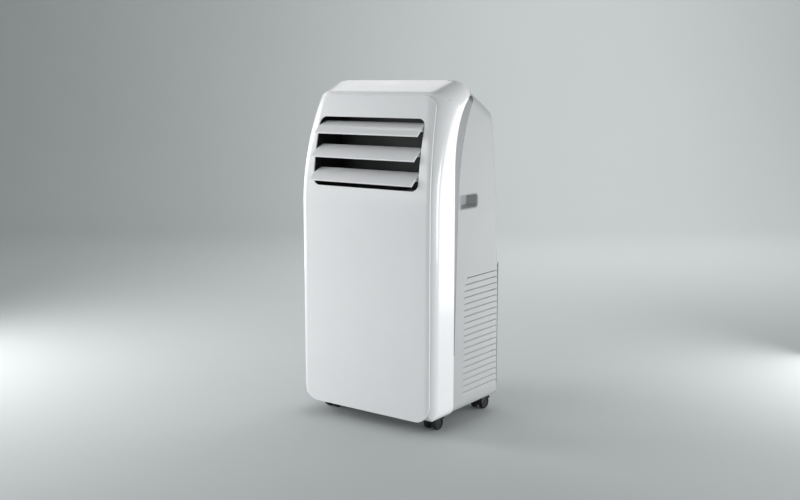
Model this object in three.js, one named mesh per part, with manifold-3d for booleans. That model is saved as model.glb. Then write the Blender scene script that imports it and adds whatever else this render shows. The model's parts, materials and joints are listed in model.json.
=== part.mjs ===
// Portable air conditioner: a compact upright unit on four twin-wheel castors.
// Millimetres. X is to the right, Y to the back, Z up. The origin is on the floor, under the middle.
// Cold air leaves at the top of the front through three linked vanes. Room air enters at the upper back
// and through the slotted sides. Warm air leaves through the round port low in the back.

import * as THREE from "three";
import { mergeVertices } from "three/addons/utils/BufferGeometryUtils.js";
import Module from "manifold-3d";

const wasm = await Module();
wasm.setup();

// ---------------------------------------------------------------- driving dimensions

// Casing
const WIDTH = 330; // over the sides of the hood
const HEIGHT = 680; // floor to the ridge of the roof
const DEPTH = 261; // face of the front panel to the back of the rear shell
const FRONT_Y = -126; // face of the front panel
const FLOOR_GAP = 27; // floor to the lower edge of the casing
const WALL = 2.5; // moulded walls
const GAP = 0.4; // clearance between neighbouring pieces
const OVER = 1; // how far a cutting body runs past what it cuts
const REAR_STEP = 2; // rear shell lies this much inside the hood
const SKIRT_ROUND = 20; // lower edge curls under
const SKIRT_LIP = 10; // the curl reaches this far in
const FRONT_CORNER = 20; // upright front corners of the hood
const BROW_CORNER = 46; // corners where the front meets the top
const SHOULDER = 35; // roof edges and upright rear corners

// Side outline
const LEAN_DROP = 250; // ridge down to where the front starts to lean back
const LEAN_RADIUS = 593; // front above that, as one arc
const LEAN_ANGLE = THREE.MathUtils.degToRad(21.9);
const PLATE_FRONT = [-71, -20]; // front edge of the control plate: Y, and Z from the ridge
const RIDGE_FRONT_Y = -18;
const RIDGE_BACK_Y = -6;
const ROOF_FALL = 0.53; // drop for each millimetre back
const BACK_BEND_Z = 200; // the back leans in above this height
const BACK_RADIUS = 2750;
const BACK_BEND_DROP = 90; // ridge down to the end of that arc
const BROW_ROUND = 10;
const ROOF_END_ROUND = 40;

// Front panel
const PANEL_PROUD = 3; // face of the panel in front of the hood
const PANEL_SIDE = 10; // side of the hood to the edge of the panel
const PANEL_TAPER = 0.58; // the edge moves in by this share of the corner's growing radius
const PANEL_FOOT = 1; // lower edge of the panel above the casing's
const PANEL_DROP = 28; // ridge to the panel's upper edge
const PANEL_TOP_ROUND = 28;
const PANEL_FOOT_ROUND = 32;

// Air outlet and vanes
const OUTLET_SIDE = 37; // side of the hood to the side of the outlet
const OUTLET_DROP = 71; // ridge to the outlet's upper edge
const OUTLET_HEIGHT = 135;
const OUTLET_ROUND = 15;
const DUCT_ROOM = 4; // duct is this much taller than the outlet, above and below
const DUCT_BACK_Y = -29; // inner face of its back wall
const VANE_COUNT = 3;
const VANE_TOP_DROP = 21; // outlet's upper edge down to the top pivot
const VANE_FOOT_RISE = 22; // outlet's lower edge up to the bottom pivot
const VANE_SET_BACK = 1.5; // middle of a vane's chord behind the panel's face
const PIVOT_SET_BACK = 14; // pivots behind the panel's face
const VANE_CHORD = 45;
const VANE_TILT = THREE.MathUtils.degToRad(30);
const VANE_END_GAP = 4; // vane to the side of the outlet
const VANE_THICK = 2.2;
const VANE_LIP = 2.2; // radius of the rounded front lip
const VANE_CAMBER = 3;
const PIVOT_RADIUS = 2.5;
const CRANK = [14, -5]; // vane pivot to link pin: back and down
const CRANK_THICK = 1.6;
const BOSS_WALL = 1; // round the vanes' pins
const LINK_PIN_RADIUS = 1.6;
const LINK_WIDTH = 7;
const LINK_THICK = 1.8;
const PIN_SINK = 0.3; // ends of the pins inside the duct's outer faces
const DUCT_SIDE_ROOM = 0.5; // duct is this much wider than the outlet on each side

// Seam between hood and rear shell, and the satin strip behind it, on the side view (Y, Z from the ridge)
const SEAM_Y = -54;
const SEAM_BEND = { from: -160, pull: [-51, -66], to: [-1, -28], roof: [16, -11] };
const STRIP_BEND = { from: [-41.5, -250], pull: [-37, -102], to: [11, -35] };
const STRIP_TOP_DROP = 29;
const STRIP_CROWN = 4; // width that the strip's rounded top takes off
const STRIP_FOOT = [-51.5, 150]; // Y, and Z from the floor
const STRIP_PROUD = 1.5;

// Handle recess in each side
const HANDLE_FRONT_Y = -37;
const HANDLE_LENGTH = 69;
const HANDLE_DROP = 218; // ridge to its upper edge
const HANDLE_HEIGHT = 29;
const HANDLE_DEPTH = 24;
const HANDLE_ROUND = 9;
const CUP_FLANGE = 4;

// Slotted sides
const SLOT_COUNT = 19;
const SLOT_PITCH = 12.8;
const SLOT_HEIGHT = 3.2;
const SLOT_FIRST_Z = 65;
const SLOT_FRONT_Y = -17;
const SLOT_BACK = 23; // back of the rear shell to the rear ends of the slots

// Back: intake grille above, cover with the exhaust port below
const INTAKE_SIDE = 55; // side of the hood to the side of the intake
const INTAKE_Z = 330;
const INTAKE_DROP = 92;
const INTAKE_ROUND = 8;
const INTAKE_ROWS = 15;
const INTAKE_SLOT = 8;
const INTAKE_FRAME = 12;
const INTAKE_SINK = 0.2; // face of the grille below the rear shell's
const INTAKE_THICK = 3;
const INTAKE_RIB = 6; // width of the middle rib
const FILTER_THICK = 2;
const FILTER_MARGIN = 3; // filter inside the grille's edge
const COVER_SIDE = 5; // side of the hood to the cover's, which wraps round the back corners
const COVER_FRONT_Y = 119;
const COVER_CORNER = 26;
const COVER_Z = 56;
const COVER_TOP_Z = 308;
const COVER_PROUD = 5;
const COVER_LAP = 12; // cover overlaps the rear shell's lower window by this much at top and bottom
const WINDOW_SIDE = 55; // side of the hood to the window behind the cover
const WINDOW_CORNER = 14;
const COVER_SLOTS = 7;
const COVER_SLOT_HEIGHT = 4;
const COVER_SLOT_PITCH = 11;
const COVER_SLOT_CLEAR = 8; // port's tube to the slots beside it
const COVER_SLOT_STEP = 12; // the lower slots reach this much further under the port
const COVER_SLOT_RISE = 20; // lower edge of the cover to the first slot
const PORT_Z = 215;
const PORT_RADIUS = 58;
const PORT_WALL = 4;
const PORT_LENGTH = 42;
const PORT_FLANGE = 8;
const PORT_SINK = 0.3; // mouth of the port below the cover's face
const PORT_FLANGE_SINK = 1; // flange behind the rear shell's face
const PLUG_RADIUS = 4;
const PLUG_HEAD = 6.5;
const PLUG_HEAD_THICK = 3;
const PLUG_LENGTH = 13;
const PLUG_X = -60;
const PLUG_LIFT = { lower: 1.5, upper: 5 }; // floor of the pan or tray to the plug
const GLAND_RADIUS = 7;
const GLAND_HEAD = 10;
const GLAND = { depth: 10, rim: 1.6, nose: 4, bore: 3.5, floor: 1 };
const GLAND_AT = [-88, 82];

// Control plate
const PLATE_SIDE = [55, 40.5]; // side of the hood to the plate's corners: front, back
const KEY_RADIUS = 7.5;
const KEY_HEIGHT = 6;
const KEY_PITCH = 27;
const KEY_FRONT_X = -54; // first key
const KEY_NAMES = ["key_power", "key_mode", "key_fan", "key_up", "key_down"];
const KEY_ROW = -10; // in front of the plate's middle
const KEY_TRAVEL = 1.2;
const PLATE_REACH = 12; // the plate's recess reaches this far above and below its face
const WINDOW_SIZE = [46, 18];
const WINDOW_ROW = 13;
const WINDOW_ROUND = 3;
const BOARD_THICK = 1.6;
const BOARD_HALF = 80;
const BOARD_MARGIN = 6; // board to the plate's front and back edges

// Base pan and castors
const PAN_Z = 40; // underside of the pan
const PAN_THICK = 3;
const PAN_RIM = 20;
const CASTOR_SIDE = 38; // side of the hood to the stem
const CASTOR_FRONT_Y = -76;
const CASTOR_BACK_Y = 96;
const CASTOR_TRAIL = 9;
const WHEEL_RADIUS = 14;
const WHEEL_WIDTH = 10;
const WEB_WIDTH = 9;
const HOOD_ROOM = 1.8;
const HOOD_THICK = 2;
const AXLE_RADIUS = 2;
const STEM_RADIUS = 4;
const STEM_LENGTH = 13;
const SOCKET_WALL = 3;
const NECK = { wall: 3, above: 8 }; // round the stem; above the axle
const HOOD_ARC = { from: 20, sweep: 150 }; // degrees from straight back
const WEB_FOOT = [5, 6]; // half width and drop of the web under the axle
const TREAD_EDGE = [1.2, 1.5]; // how far the tread's edge is taken off: radius, width
const WHEEL_DISH = { rim: 4, slope: 1, depth: 2 };
const AXLE_END = 4.5; // axle's end inside the wheel's outer face

// Cold side: fan, duct and evaporator
const TRAY_Z = 306;
const TRAY_THICK = 3;
const TRAY_RIM = 16;
const COLD_FAN = { radius: 60, depth: 56, start: 66, growth: 22, outlet: 74 };
const COLD_FAN_FRONT_Y = -110;
const HOT_FAN = { radius: 70, depth: 64, start: 76, growth: 24, outlet: 96 };
const HOT_FAN_AT = [-4, 140]; // Y, Z
const SCROLL_ROOM = 5; // wheel to the flat walls of its scroll
const SCROLL_WALL = 2;
const SCROLL_START = THREE.MathUtils.degToRad(40);
const SCROLL_SWEEP = THREE.MathUtils.degToRad(310);
const SHAFT_HOLE = 2; // clearance round the shaft in the scroll's wall
const INLET_SHARE = 0.82; // inlet radius over wheel radius
const BLADE_COUNT = 15;
const BLADE_THICK = 1.5;
const BLADE_CHORD = 12;
const BLADE_LEAN = 0.5; // radians from the radius
const BLADE_SHARE = 0.6; // share of the chord inside the wheel's edge
const FAN_PLATE = 2; // back plate and rim
const HUB_SHARE = 0.4; // hub's length over the wheel's
const HUB_RADIUS = 12;
const SHAFT_RADIUS = 4;
const COLD_MOTOR = { radius: 38, length: 46 };
const HOT_MOTOR = { radius: 36, length: 40 };
const MOTOR_ARM = 9;
const MOTOR_LAP = 8; // arms start this far inside the motor's rim
const MOTOR_STEP = { edge: 6, foot: 5, rise: 0.5, hub: 4, bore: 14 };
const MOTOR_MOUNT = 14; // hot motor's arms beyond its rim
const SHAFT_REACH = { wheel: 3, motor: 12 }; // shaft into the wheel's hub and into the motor
const COIL_CLEAR = 4.2; // filter to the back of the coil's end plates
const COIL_THICK = 34;
const COIL_PLATE = { thick: 2, front: 5, back: 2, ends: 2, lap: 1.5 };
const COIL_SIDE = 47;
const COIL_LIFT = 9; // coil above the tray
const VANE_MOTOR = { radius: 11, length: 15, offset: 13, boss: 3, bossLength: 3.5 };

// Hot side: compressor and condenser
const HOT_COIL = { side: 15, thick: 30, front: -70, length: 172, z: 62, height: 222 };
const HOT_PLATE = { thick: 3, inside: 3, outside: 2, below: 4, above: 3 };
const COMPRESSOR = { x: -98, y: 30, radius: 48, height: 205, dome: 22, foot: 8, crown: 4 };
const MOUNT_FEET = { spread: 6, low: 2, high: 10, cup: 7, cupTop: 11 };
const TERMINAL = { x: 12, y: -18, radius: 9, below: 20, above: 6 };
const ACCUMULATOR = { x: -30, y: -64, radius: 19, height: 150, z: 34, edge: 6, taper: 8 }; // from its foot
const STRAP = { share: 0.6, height: 16, half: 9 };
const PIPE_RADIUS = 4;

// Electrics
const BOX_SIZE = { x: 46, y: 84, z: 92 };
const BOX_SIDE = 12;
const BOX_FRONT_Y = -60;
const BOX_LIFT = 2; // box above the tray's floor

// Roundness of arcs: straight pieces in a quarter turn, and round a full circle
const QUARTER_STEPS = 4;
const LEAN_STEPS = 7;
const CIRCLE_STEPS = 24;
const PIPE_SIDES = 6;

// ---------------------------------------------------------------- places that follow from them

const BACK_Y = FRONT_Y + DEPTH;
const OUTLET_TOP = HEIGHT - OUTLET_DROP;
const OUTLET_FOOT = OUTLET_TOP - OUTLET_HEIGHT;
const OUTLET_HALF = WIDTH / 2 - OUTLET_SIDE;
const VANE_PITCH = (OUTLET_HEIGHT - VANE_TOP_DROP - VANE_FOOT_RISE) / (VANE_COUNT - 1);
const DUCT_TOP = OUTLET_TOP + DUCT_ROOM;
const DUCT_FOOT = OUTLET_FOOT - DUCT_ROOM;
const DUCT_HALF = OUTLET_HALF + DUCT_SIDE_ROOM;
const LEAN_START = HEIGHT - LEAN_DROP;
const SIDE_X = WIDTH / 2 - REAR_STEP; // outer face of the rear shell's sides
// The port's flange meets the window's side.
const PORT_X = WIDTH / 2 - WINDOW_SIDE - PORT_RADIUS - PORT_WALL - PORT_FLANGE;
const INSIDE = REAR_STEP + WALL + GAP; // inset at which inner pieces clear both shells
const BELOW = -60; // well under the casing
const FILTER_INSET = REAR_STEP + INTAKE_SINK + INTAKE_THICK + GAP;
const WHEEL_OUT = WEB_WIDTH / 2 + GAP + WHEEL_WIDTH; // castor's middle to a wheel's outer face

// ---------------------------------------------------------------- solids: join, cut and keep

// A copy in which no two triangles share a vertex.
const loose = (geometry) => (geometry.index ? geometry.toNonIndexed() : geometry.clone());

function toSolid(geometry) {
  const points = new THREE.BufferGeometry();
  points.setAttribute("position", loose(geometry).getAttribute("position"));
  const merged = mergeVertices(points, 1e-4);
  return new wasm.Manifold(
    new wasm.Mesh({
      numProp: 3,
      vertProperties: merged.attributes.position.array,
      triVerts: new Uint32Array(merged.index.array),
    }),
  );
}

function toGeometry(solid) {
  const mesh = solid.getMesh();
  const places = new Float32Array((mesh.vertProperties.length / mesh.numProp) * 3);
  for (let i = 0; i * 3 < places.length; i++) {
    places.set(mesh.vertProperties.subarray(i * mesh.numProp, i * mesh.numProp + 3), i * 3);
  }
  const geometry = new THREE.BufferGeometry();
  geometry.setAttribute("position", new THREE.BufferAttribute(places, 3));
  geometry.setIndex(new THREE.BufferAttribute(new Uint32Array(mesh.triVerts), 1));
  return geometry;
}

const join = (first, ...others) =>
  toGeometry(others.reduce((solid, other) => solid.add(toSolid(other)), toSolid(first)));
const cut = (first, ...others) =>
  toGeometry(others.reduce((solid, other) => solid.subtract(toSolid(other)), toSolid(first)));
const keep = (first, ...others) =>
  toGeometry(others.reduce((solid, other) => solid.intersect(toSolid(other)), toSolid(first)));

// ---------------------------------------------------------------- outlines and simple bodies

// Points of the arc that rounds a corner, given the corner's two neighbours.
function roundCorner(before, corner, after, radius, steps = QUARTER_STEPS) {
  const at = new THREE.Vector2(...corner);
  const back = new THREE.Vector2(...before).sub(at).normalize();
  const on = new THREE.Vector2(...after).sub(at).normalize();
  const half = Math.acos(THREE.MathUtils.clamp(back.dot(on), -1, 1)) / 2;
  const middle = at.clone().addScaledVector(back.clone().add(on).normalize(), radius / Math.sin(half));
  const start = at.clone().addScaledVector(back, radius / Math.tan(half)).sub(middle);
  const end = at.clone().addScaledVector(on, radius / Math.tan(half)).sub(middle);
  const turn = Math.atan2(start.cross(end), start.dot(end));
  const points = [];
  for (let i = 0; i <= steps; i++) {
    const point = start.clone().rotateAround(new THREE.Vector2(), (turn * i) / steps).add(middle);
    points.push([point.x, point.y]);
  }
  return points;
}

// A closed outline from corners [u, v, radius].
function rounded(corners) {
  return corners.flatMap(([u, v, radius], i) => {
    const before = corners.at(i - 1);
    const after = corners[(i + 1) % corners.length];
    return radius ? roundCorner(before.slice(0, 2), [u, v], after.slice(0, 2), radius) : [[u, v]];
  });
}

const rectangle = (u0, u1, v0, v1, radius = 0) =>
  rounded([
    [u0, v0, radius],
    [u1, v0, radius],
    [u1, v1, radius],
    [u0, v1, radius],
  ]);

function circle(u, v, radius, steps = CIRCLE_STEPS) {
  const angles = Array.from({ length: steps }, (_, i) => (2 * Math.PI * i) / steps);
  return angles.map((a) => [u + radius * Math.cos(a), v + radius * Math.sin(a)]);
}

// An outline pushed straight along an axis. It is drawn in (Y, Z) for x, (X, Z) for y and (X, Y) for z.
function prism(axis, outline, from, to) {
  const shape = new THREE.Shape(outline.map(([u, v]) => new THREE.Vector2(u, v)));
  const body = new THREE.ExtrudeGeometry(shape, { depth: to - from, bevelEnabled: false });
  const turned = new THREE.Matrix4();
  if (axis === "x") turned.set(0, 0, 1, from, 1, 0, 0, 0, 0, 1, 0, 0, 0, 0, 0, 1);
  if (axis === "y") turned.set(1, 0, 0, 0, 0, 0, -1, to, 0, 1, 0, 0, 0, 0, 0, 1);
  if (axis === "z") turned.makeTranslation(0, 0, from);
  return body.applyMatrix4(turned);
}

const box = (x0, x1, y0, y1, z0, z1) => prism("z", rectangle(x0, x1, y0, y1), z0, z1);
const disc = (axis, u, v, radius, from, to, steps) => prism(axis, circle(u, v, radius, steps), from, to);

// A body of revolution about Z, from points [radius, z] that start and end on the axis.
function turned(profile, steps = 16) {
  const points = profile.map(([radius, z]) => new THREE.Vector2(radius, z));
  return new THREE.LatheGeometry(points, steps).rotateX(Math.PI / 2);
}

// A round pipe through a few bends.
function pipe(radius, ...stops) {
  const places = stops.map((stop) => new THREE.Vector3(...stop));
  const path = new THREE.CatmullRomCurve3(places, false, "centripetal");
  const section = circle(0, 0, radius, PIPE_SIDES);
  const shape = new THREE.Shape(section.map(([u, v]) => new THREE.Vector2(u, v)));
  return new THREE.ExtrudeGeometry(shape, { steps: 4 * (stops.length - 1), extrudePath: path });
}

// ---------------------------------------------------------------- the casing's outer form

// A point on the leaning front, at an angle up its arc and a depth behind the panel's face.
function leanPoint(angle, depth) {
  const radius = LEAN_RADIUS - depth;
  return [FRONT_Y + LEAN_RADIUS - radius * Math.cos(angle), LEAN_START + radius * Math.sin(angle)];
}

// Y of a surface that lies a depth behind the panel's face.
function frontY(z, depth) {
  if (z <= LEAN_START) return FRONT_Y + depth;
  const radius = LEAN_RADIUS - depth;
  return FRONT_Y + LEAN_RADIUS - Math.sqrt(radius ** 2 - (z - LEAN_START) ** 2);
}

// Y of the back, a depth inside the rear shell's outer face.
function backY(z, depth) {
  const lean = BACK_RADIUS - Math.sqrt(BACK_RADIUS ** 2 - Math.max(z - BACK_BEND_Z, 0) ** 2);
  return BACK_Y - lean - depth;
}

// Where two lines cross, each given by a point and a direction.
function crossing([ax, ay], [au, av], [bx, by], [bu, bv]) {
  const along = ((bx - ax) * bv - (by - ay) * bu) / (au * bv - av * bu);
  return [ax + au * along, ay + av * along];
}

// Radius of the hood's upright corners a share of the way up the lean.
const cornerRadius = (share) => THREE.MathUtils.lerp(FRONT_CORNER, BROW_CORNER, share ** 2);

// Corners of the side outline of the hood's surface, from the front foot over the roof to the back foot.
// Each has the radius that rounds the outline there, and the radius of the edge that runs round the side.
function outlineCorners() {
  const corners = [];
  const corner = (point, round, edge) => corners.push({ point, round, edge });
  corner([FRONT_Y + PANEL_PROUD, BELOW], 0, FRONT_CORNER);
  for (let i = 0; i <= LEAN_STEPS; i++) {
    corner(leanPoint((LEAN_ANGLE * i) / LEAN_STEPS, PANEL_PROUD), 0, cornerRadius(i / LEAN_STEPS));
  }
  const plateFront = [PLATE_FRONT[0], HEIGHT + PLATE_FRONT[1]];
  const ridgeFront = [RIDGE_FRONT_Y, HEIGHT];
  const plateRun = [ridgeFront[0] - plateFront[0], ridgeFront[1] - plateFront[1]];
  const lean = [Math.sin(LEAN_ANGLE), Math.cos(LEAN_ANGLE)];
  corner(crossing(corners.at(-1).point, lean, plateFront, plateRun), BROW_ROUND, BROW_CORNER);
  const ridge = crossing(plateFront, plateRun, [RIDGE_BACK_Y, HEIGHT], [1, -ROOF_FALL]);
  const slopes = [Math.atan2(plateRun[1], plateRun[0]), Math.atan(ROOF_FALL)];
  const half = (Math.PI - slopes[0] - slopes[1]) / 2;
  const reach = Math.cos((slopes[1] - slopes[0]) / 2) / Math.sin(half) - 1;
  corner(ridge, (ridge[1] - HEIGHT) / reach, SHOULDER); // its arc's highest point is the ridge
  const bendTop = HEIGHT - BACK_BEND_DROP;
  const back = [backY(bendTop, -REAR_STEP), bendTop];
  const backRun = [-(bendTop - BACK_BEND_Z), BACK_RADIUS];
  corner(crossing([RIDGE_BACK_Y, HEIGHT], [1, -ROOF_FALL], back, backRun), ROOF_END_ROUND, SHOULDER);
  const backSteps = 4;
  for (let i = 0; i <= backSteps; i++) {
    const z = THREE.MathUtils.lerp(bendTop, BACK_BEND_Z, i / backSteps);
    corner([backY(z, -REAR_STEP), z], 0, SHOULDER);
  }
  corner([BACK_Y + REAR_STEP, BELOW], 0, SHOULDER);
  return corners;
}

// The outline moved inwards, each corner by its own amount, with its roundings drawn afterwards.
function insetOutline(corners, amount) {
  const normal = (a, b) => new THREE.Vector2(b[1] - a[1], a[0] - b[0]).normalize();
  const moved = corners.map(({ point }, i) => {
    const before = corners[Math.max(i - 1, 0)].point;
    const after = corners[Math.min(i + 1, corners.length - 1)].point;
    const first = i > 0 ? normal(before, point) : normal(point, after);
    const second = i < corners.length - 1 ? normal(point, after) : first;
    const mitre = first.clone().add(second).divideScalar(1 + first.dot(second));
    return [point[0] + mitre.x * amount(corners[i]), point[1] + mitre.y * amount(corners[i])];
  });
  return corners.flatMap((corner, i) => {
    if (!corner.round) return [{ point: moved[i], corner }];
    const radius = Math.max(corner.round - amount(corner), 0.5);
    const arc = roundCorner(moved[i - 1], moved[i], moved[i + 1], radius);
    return arc.map((point) => ({ point, corner }));
  });
}

// The casing as one solid body, its whole surface moved inwards by an inset. The side outline is carried
// across the width, and its edges roll over onto the flat sides with each corner's own edge radius.
function casing(inset) {
  const corners = outlineCorners();
  const levels = [];
  for (let i = QUARTER_STEPS; i >= 0; i--) levels.push([-1, (Math.PI / 2) * (i / QUARTER_STEPS)]);
  for (let i = 0; i <= QUARTER_STEPS; i++) levels.push([1, (Math.PI / 2) * (i / QUARTER_STEPS)]);
  const rings = levels.map(([side, turn]) => {
    const edge = (corner) => Math.max(corner.edge - inset, 0.5);
    const drop = (corner) => inset + edge(corner) * (1 - Math.cos(turn));
    return insetOutline(corners, drop).map(({ point, corner }) => {
      const x = side * (WIDTH / 2 - inset - edge(corner) * (1 - Math.sin(turn)));
      return [x, point[0], point[1]];
    });
  });
  const count = rings[0].length;
  const faces = [];
  for (let r = 0; r + 1 < rings.length; r++) {
    for (let i = 0; i < count; i++) {
      const a = r * count + i;
      const b = r * count + ((i + 1) % count);
      faces.push(a, a + count, b, b, a + count, b + count);
    }
  }
  const end = rings[0].map(([, y, z]) => new THREE.Vector2(y, z));
  const last = (rings.length - 1) * count;
  for (const [a, b, c] of THREE.ShapeUtils.triangulateShape(end, [])) {
    const turn = end[b].clone().sub(end[a]).cross(end[c].clone().sub(end[a]));
    const [p, q] = turn > 0 ? [b, c] : [c, b];
    faces.push(a, q, p, last + a, last + p, last + q);
  }
  const geometry = new THREE.BufferGeometry();
  geometry.setAttribute("position", new THREE.Float32BufferAttribute(rings.flat(2), 3));
  return geometry.setIndex(faces);
}

// Everything above the casing's lower edge, which curls under with a radius.
function aboveSkirt(inset) {
  const radius = SKIRT_ROUND - inset;
  const foot = FLOOR_GAP + inset;
  const over = HEIGHT + 100;
  const wide = WIDTH / 2 - inset;
  const front = FRONT_Y + PANEL_PROUD + inset;
  const back = BACK_Y + REAR_STEP - inset;
  const curled = (low, high) =>
    rounded([[low, foot, radius], [high, foot, radius], [high, over, 0], [low, over, 0]]);
  return keep(
    prism("y", curled(-wide, wide), -DEPTH, DEPTH),
    prism("x", curled(front, back), -WIDTH, WIDTH));
}

// A moulded shell: the casing at an inset, hollow, with its lower edge curled under and open below.
function shell(inset) {
  const outside = keep(casing(inset), aboveSkirt(inset));
  const hollow = keep(casing(inset + WALL), aboveSkirt(inset + WALL));
  const under = keep(casing(inset + SKIRT_LIP), box(-WIDTH, WIDTH, -DEPTH, DEPTH, 0, PAN_Z));
  return cut(outside, hollow, under);
}

// The part of the casing between two insets.
const layer = (outer, inner) => cut(casing(outer), casing(inner));
const slab = (z0, z1) => box(-WIDTH, WIDTH, -DEPTH, DEPTH, z0, z1);

// ---------------------------------------------------------------- seam and strip on the side view

function bend(from, pull, to) {
  const curve = new THREE.QuadraticBezierCurve(
    new THREE.Vector2(...from), new THREE.Vector2(...pull), new THREE.Vector2(...to));
  return curve.getPoints(6).map(({ x, y }) => [x, y]);
}

const fromRidge = ([y, drop]) => [y, HEIGHT + drop];

// The seam from the floor up over the roof, moved back by a distance.
function seamLine(back) {
  const line = bend(
    fromRidge([SEAM_Y, SEAM_BEND.from]), fromRidge(SEAM_BEND.pull), fromRidge(SEAM_BEND.to));
  const end = fromRidge(SEAM_BEND.to);
  const roof = fromRidge(SEAM_BEND.roof);
  const past = [2 * roof[0] - end[0] + 30, 2 * roof[1] - end[1] + 30];
  return [[SEAM_Y, BELOW], ...line, roof, past].map(([y, z]) => [y + back, z]);
}

// Everything in front of the seam.
function beforeSeam(back = 0) {
  const line = seamLine(back);
  const far = -DEPTH;
  return prism("x", [...line, [far, line.at(-1)[1]], [far, BELOW]], -WIDTH, WIDTH);
}

function stripOutline() {
  const top = HEIGHT - STRIP_TOP_DROP;
  const front = seamLine(GAP).filter(([, z]) => z > STRIP_FOOT[1] && z < top);
  const { from, pull, to } = STRIP_BEND;
  const rear = bend(fromRidge(from), fromRidge(pull), fromRidge(to)).reverse();
  const crown = [to[0] - STRIP_CROWN, top];
  return [[SEAM_Y + GAP, STRIP_FOOT[1]], ...front, crown, ...rear, STRIP_FOOT];
}

// ---------------------------------------------------------------- casing pieces

const outletOutline = (more, round = OUTLET_ROUND) =>
  rectangle(-OUTLET_HALF - more, OUTLET_HALF + more, OUTLET_FOOT - more, OUTLET_TOP + more, round);

function plateOutline(grow) {
  const [front, back] = PLATE_SIDE.map((side) => WIDTH / 2 - side + grow);
  const half = plateLength() / 2 + grow;
  return [[-front, -half], [front, -half], [back, half], [-back, half]];
}

function plateLength() {
  return Math.hypot(RIDGE_FRONT_Y - PLATE_FRONT[0], PLATE_FRONT[1]);
}

// A group whose Z is square to the control plate and whose origin is the middle of the plate's top face.
function plateFrame() {
  const frame = new THREE.Group();
  frame.position.set(0, (PLATE_FRONT[0] + RIDGE_FRONT_Y) / 2, HEIGHT + PLATE_FRONT[1] / 2);
  frame.rotation.x = Math.atan2(-PLATE_FRONT[1], RIDGE_FRONT_Y - PLATE_FRONT[0]);
  frame.updateMatrix();
  return frame;
}

function frontShell() {
  const duct = WALL + GAP;
  const outlet = rectangle(-DUCT_HALF - duct, DUCT_HALF + duct, DUCT_FOOT - duct, DUCT_TOP + duct);
  const outletCut = prism("y", outlet, FRONT_Y, DUCT_BACK_Y);
  const plateCut = prism("z", plateOutline(GAP), -PLATE_REACH, PLATE_REACH).applyMatrix4(plateFrame().matrix);
  return cut(keep(shell(0), beforeSeam()), outletCut, plateCut);
}

function frontPanel() {
  const half = (share) =>
    WIDTH / 2 - PANEL_SIDE - PANEL_TAPER * (cornerRadius(share) - FRONT_CORNER);
  const top = HEIGHT - PANEL_DROP;
  const right = [[half(0), FLOOR_GAP + PANEL_FOOT, PANEL_FOOT_ROUND]];
  for (let i = 0; i < LEAN_STEPS; i++) {
    const z = leanPoint((LEAN_ANGLE * i) / LEAN_STEPS, 0)[1];
    if (z < top - PANEL_TOP_ROUND) right.push([half(i / LEAN_STEPS), z, 0]);
  }
  right.push([half(1), top, PANEL_TOP_ROUND]);
  const left = right.map(([x, z, radius]) => [-x, z, radius]).reverse();
  const outline = rounded([...right, ...left]);
  const face = keep(layer(-PANEL_PROUD, -GAP), prism("y", outline, FRONT_Y - OVER, 0));
  return cut(face, prism("y", outletOutline(0), FRONT_Y - OVER, 0));
}

const intakeOutline = (grow) =>
  rectangle(
    -(WIDTH / 2 - INTAKE_SIDE) - grow, WIDTH / 2 - INTAKE_SIDE + grow,
    INTAKE_Z - grow, HEIGHT - INTAKE_DROP + grow, INTAKE_ROUND);

const windowOutline = () => {
  const half = WIDTH / 2 - WINDOW_SIDE;
  return rectangle(-half, half, COVER_Z + COVER_LAP, COVER_TOP_Z - COVER_LAP, WINDOW_CORNER);
};

const handleOutline = (grow) =>
  rectangle(
    HANDLE_FRONT_Y - grow, HANDLE_FRONT_Y + HANDLE_LENGTH + grow,
    HEIGHT - HANDLE_DROP - HANDLE_HEIGHT - grow, HEIGHT - HANDLE_DROP + grow, HANDLE_ROUND);

const plugPlaces = () => ({
  drain_plug_lower: PAN_Z + PAN_THICK + PLUG_RADIUS + PLUG_LIFT.lower,
  drain_plug_upper: TRAY_Z + TRAY_THICK + PLUG_RADIUS + PLUG_LIFT.upper,
});

// The hole for a drain plug through the back.
const plugBore = (z) => disc("y", PLUG_X, z, PLUG_RADIUS + GAP, BACK_Y / 2, DEPTH, 16);

function rearShell() {
  const behind = cut(shell(REAR_STEP), beforeSeam(GAP));
  const handles = prism("x", handleOutline(GAP), -WIDTH, WIDTH);
  const intake = prism("y", intakeOutline(GAP), 0, DEPTH);
  const window = prism("y", windowOutline(), 0, DEPTH);
  const slots = Array.from({ length: SLOT_COUNT }, (_, i) => {
    const z = SLOT_FIRST_Z + i * SLOT_PITCH;
    return box(-WIDTH, WIDTH, SLOT_FRONT_Y, BACK_Y - SLOT_BACK, z, z + SLOT_HEIGHT);
  });
  const plugs = Object.values(plugPlaces()).map((z) => plugBore(z));
  return cut(behind, handles, intake, window, ...slots, ...plugs);
}

function sideTrim(side) {
  const range = side < 0 ? [-WIDTH, -WIDTH / 4] : [WIDTH / 4, WIDTH];
  const skin = layer(REAR_STEP - GAP - STRIP_PROUD, REAR_STEP - GAP);
  return keep(skin, prism("x", stripOutline(), ...range));
}

// A finger pocket open to the side, with a flange behind the rear shell's wall.
function handleCup(side) {
  const mouth = SIDE_X;
  const floor = mouth - HANDLE_DEPTH;
  const flange = mouth - WALL - GAP;
  const cup = join(
    prism("x", handleOutline(0), floor - WALL, mouth),
    prism("x", handleOutline(CUP_FLANGE), flange - WALL, flange));
  const made = cut(cup, prism("x", handleOutline(-WALL), floor, mouth + OVER));
  return side > 0 ? made : mirrored(made);
}

// The same body on the other side of the middle plane.
function mirrored(geometry) {
  const flipped = geometry.clone().applyMatrix4(new THREE.Matrix4().makeScale(-1, 1, 1));
  const faces = flipped.index.array;
  for (let i = 0; i < faces.length; i += 3) {
    [faces[i + 1], faces[i + 2]] = [faces[i + 2], faces[i + 1]];
  }
  return flipped;
}

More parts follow.
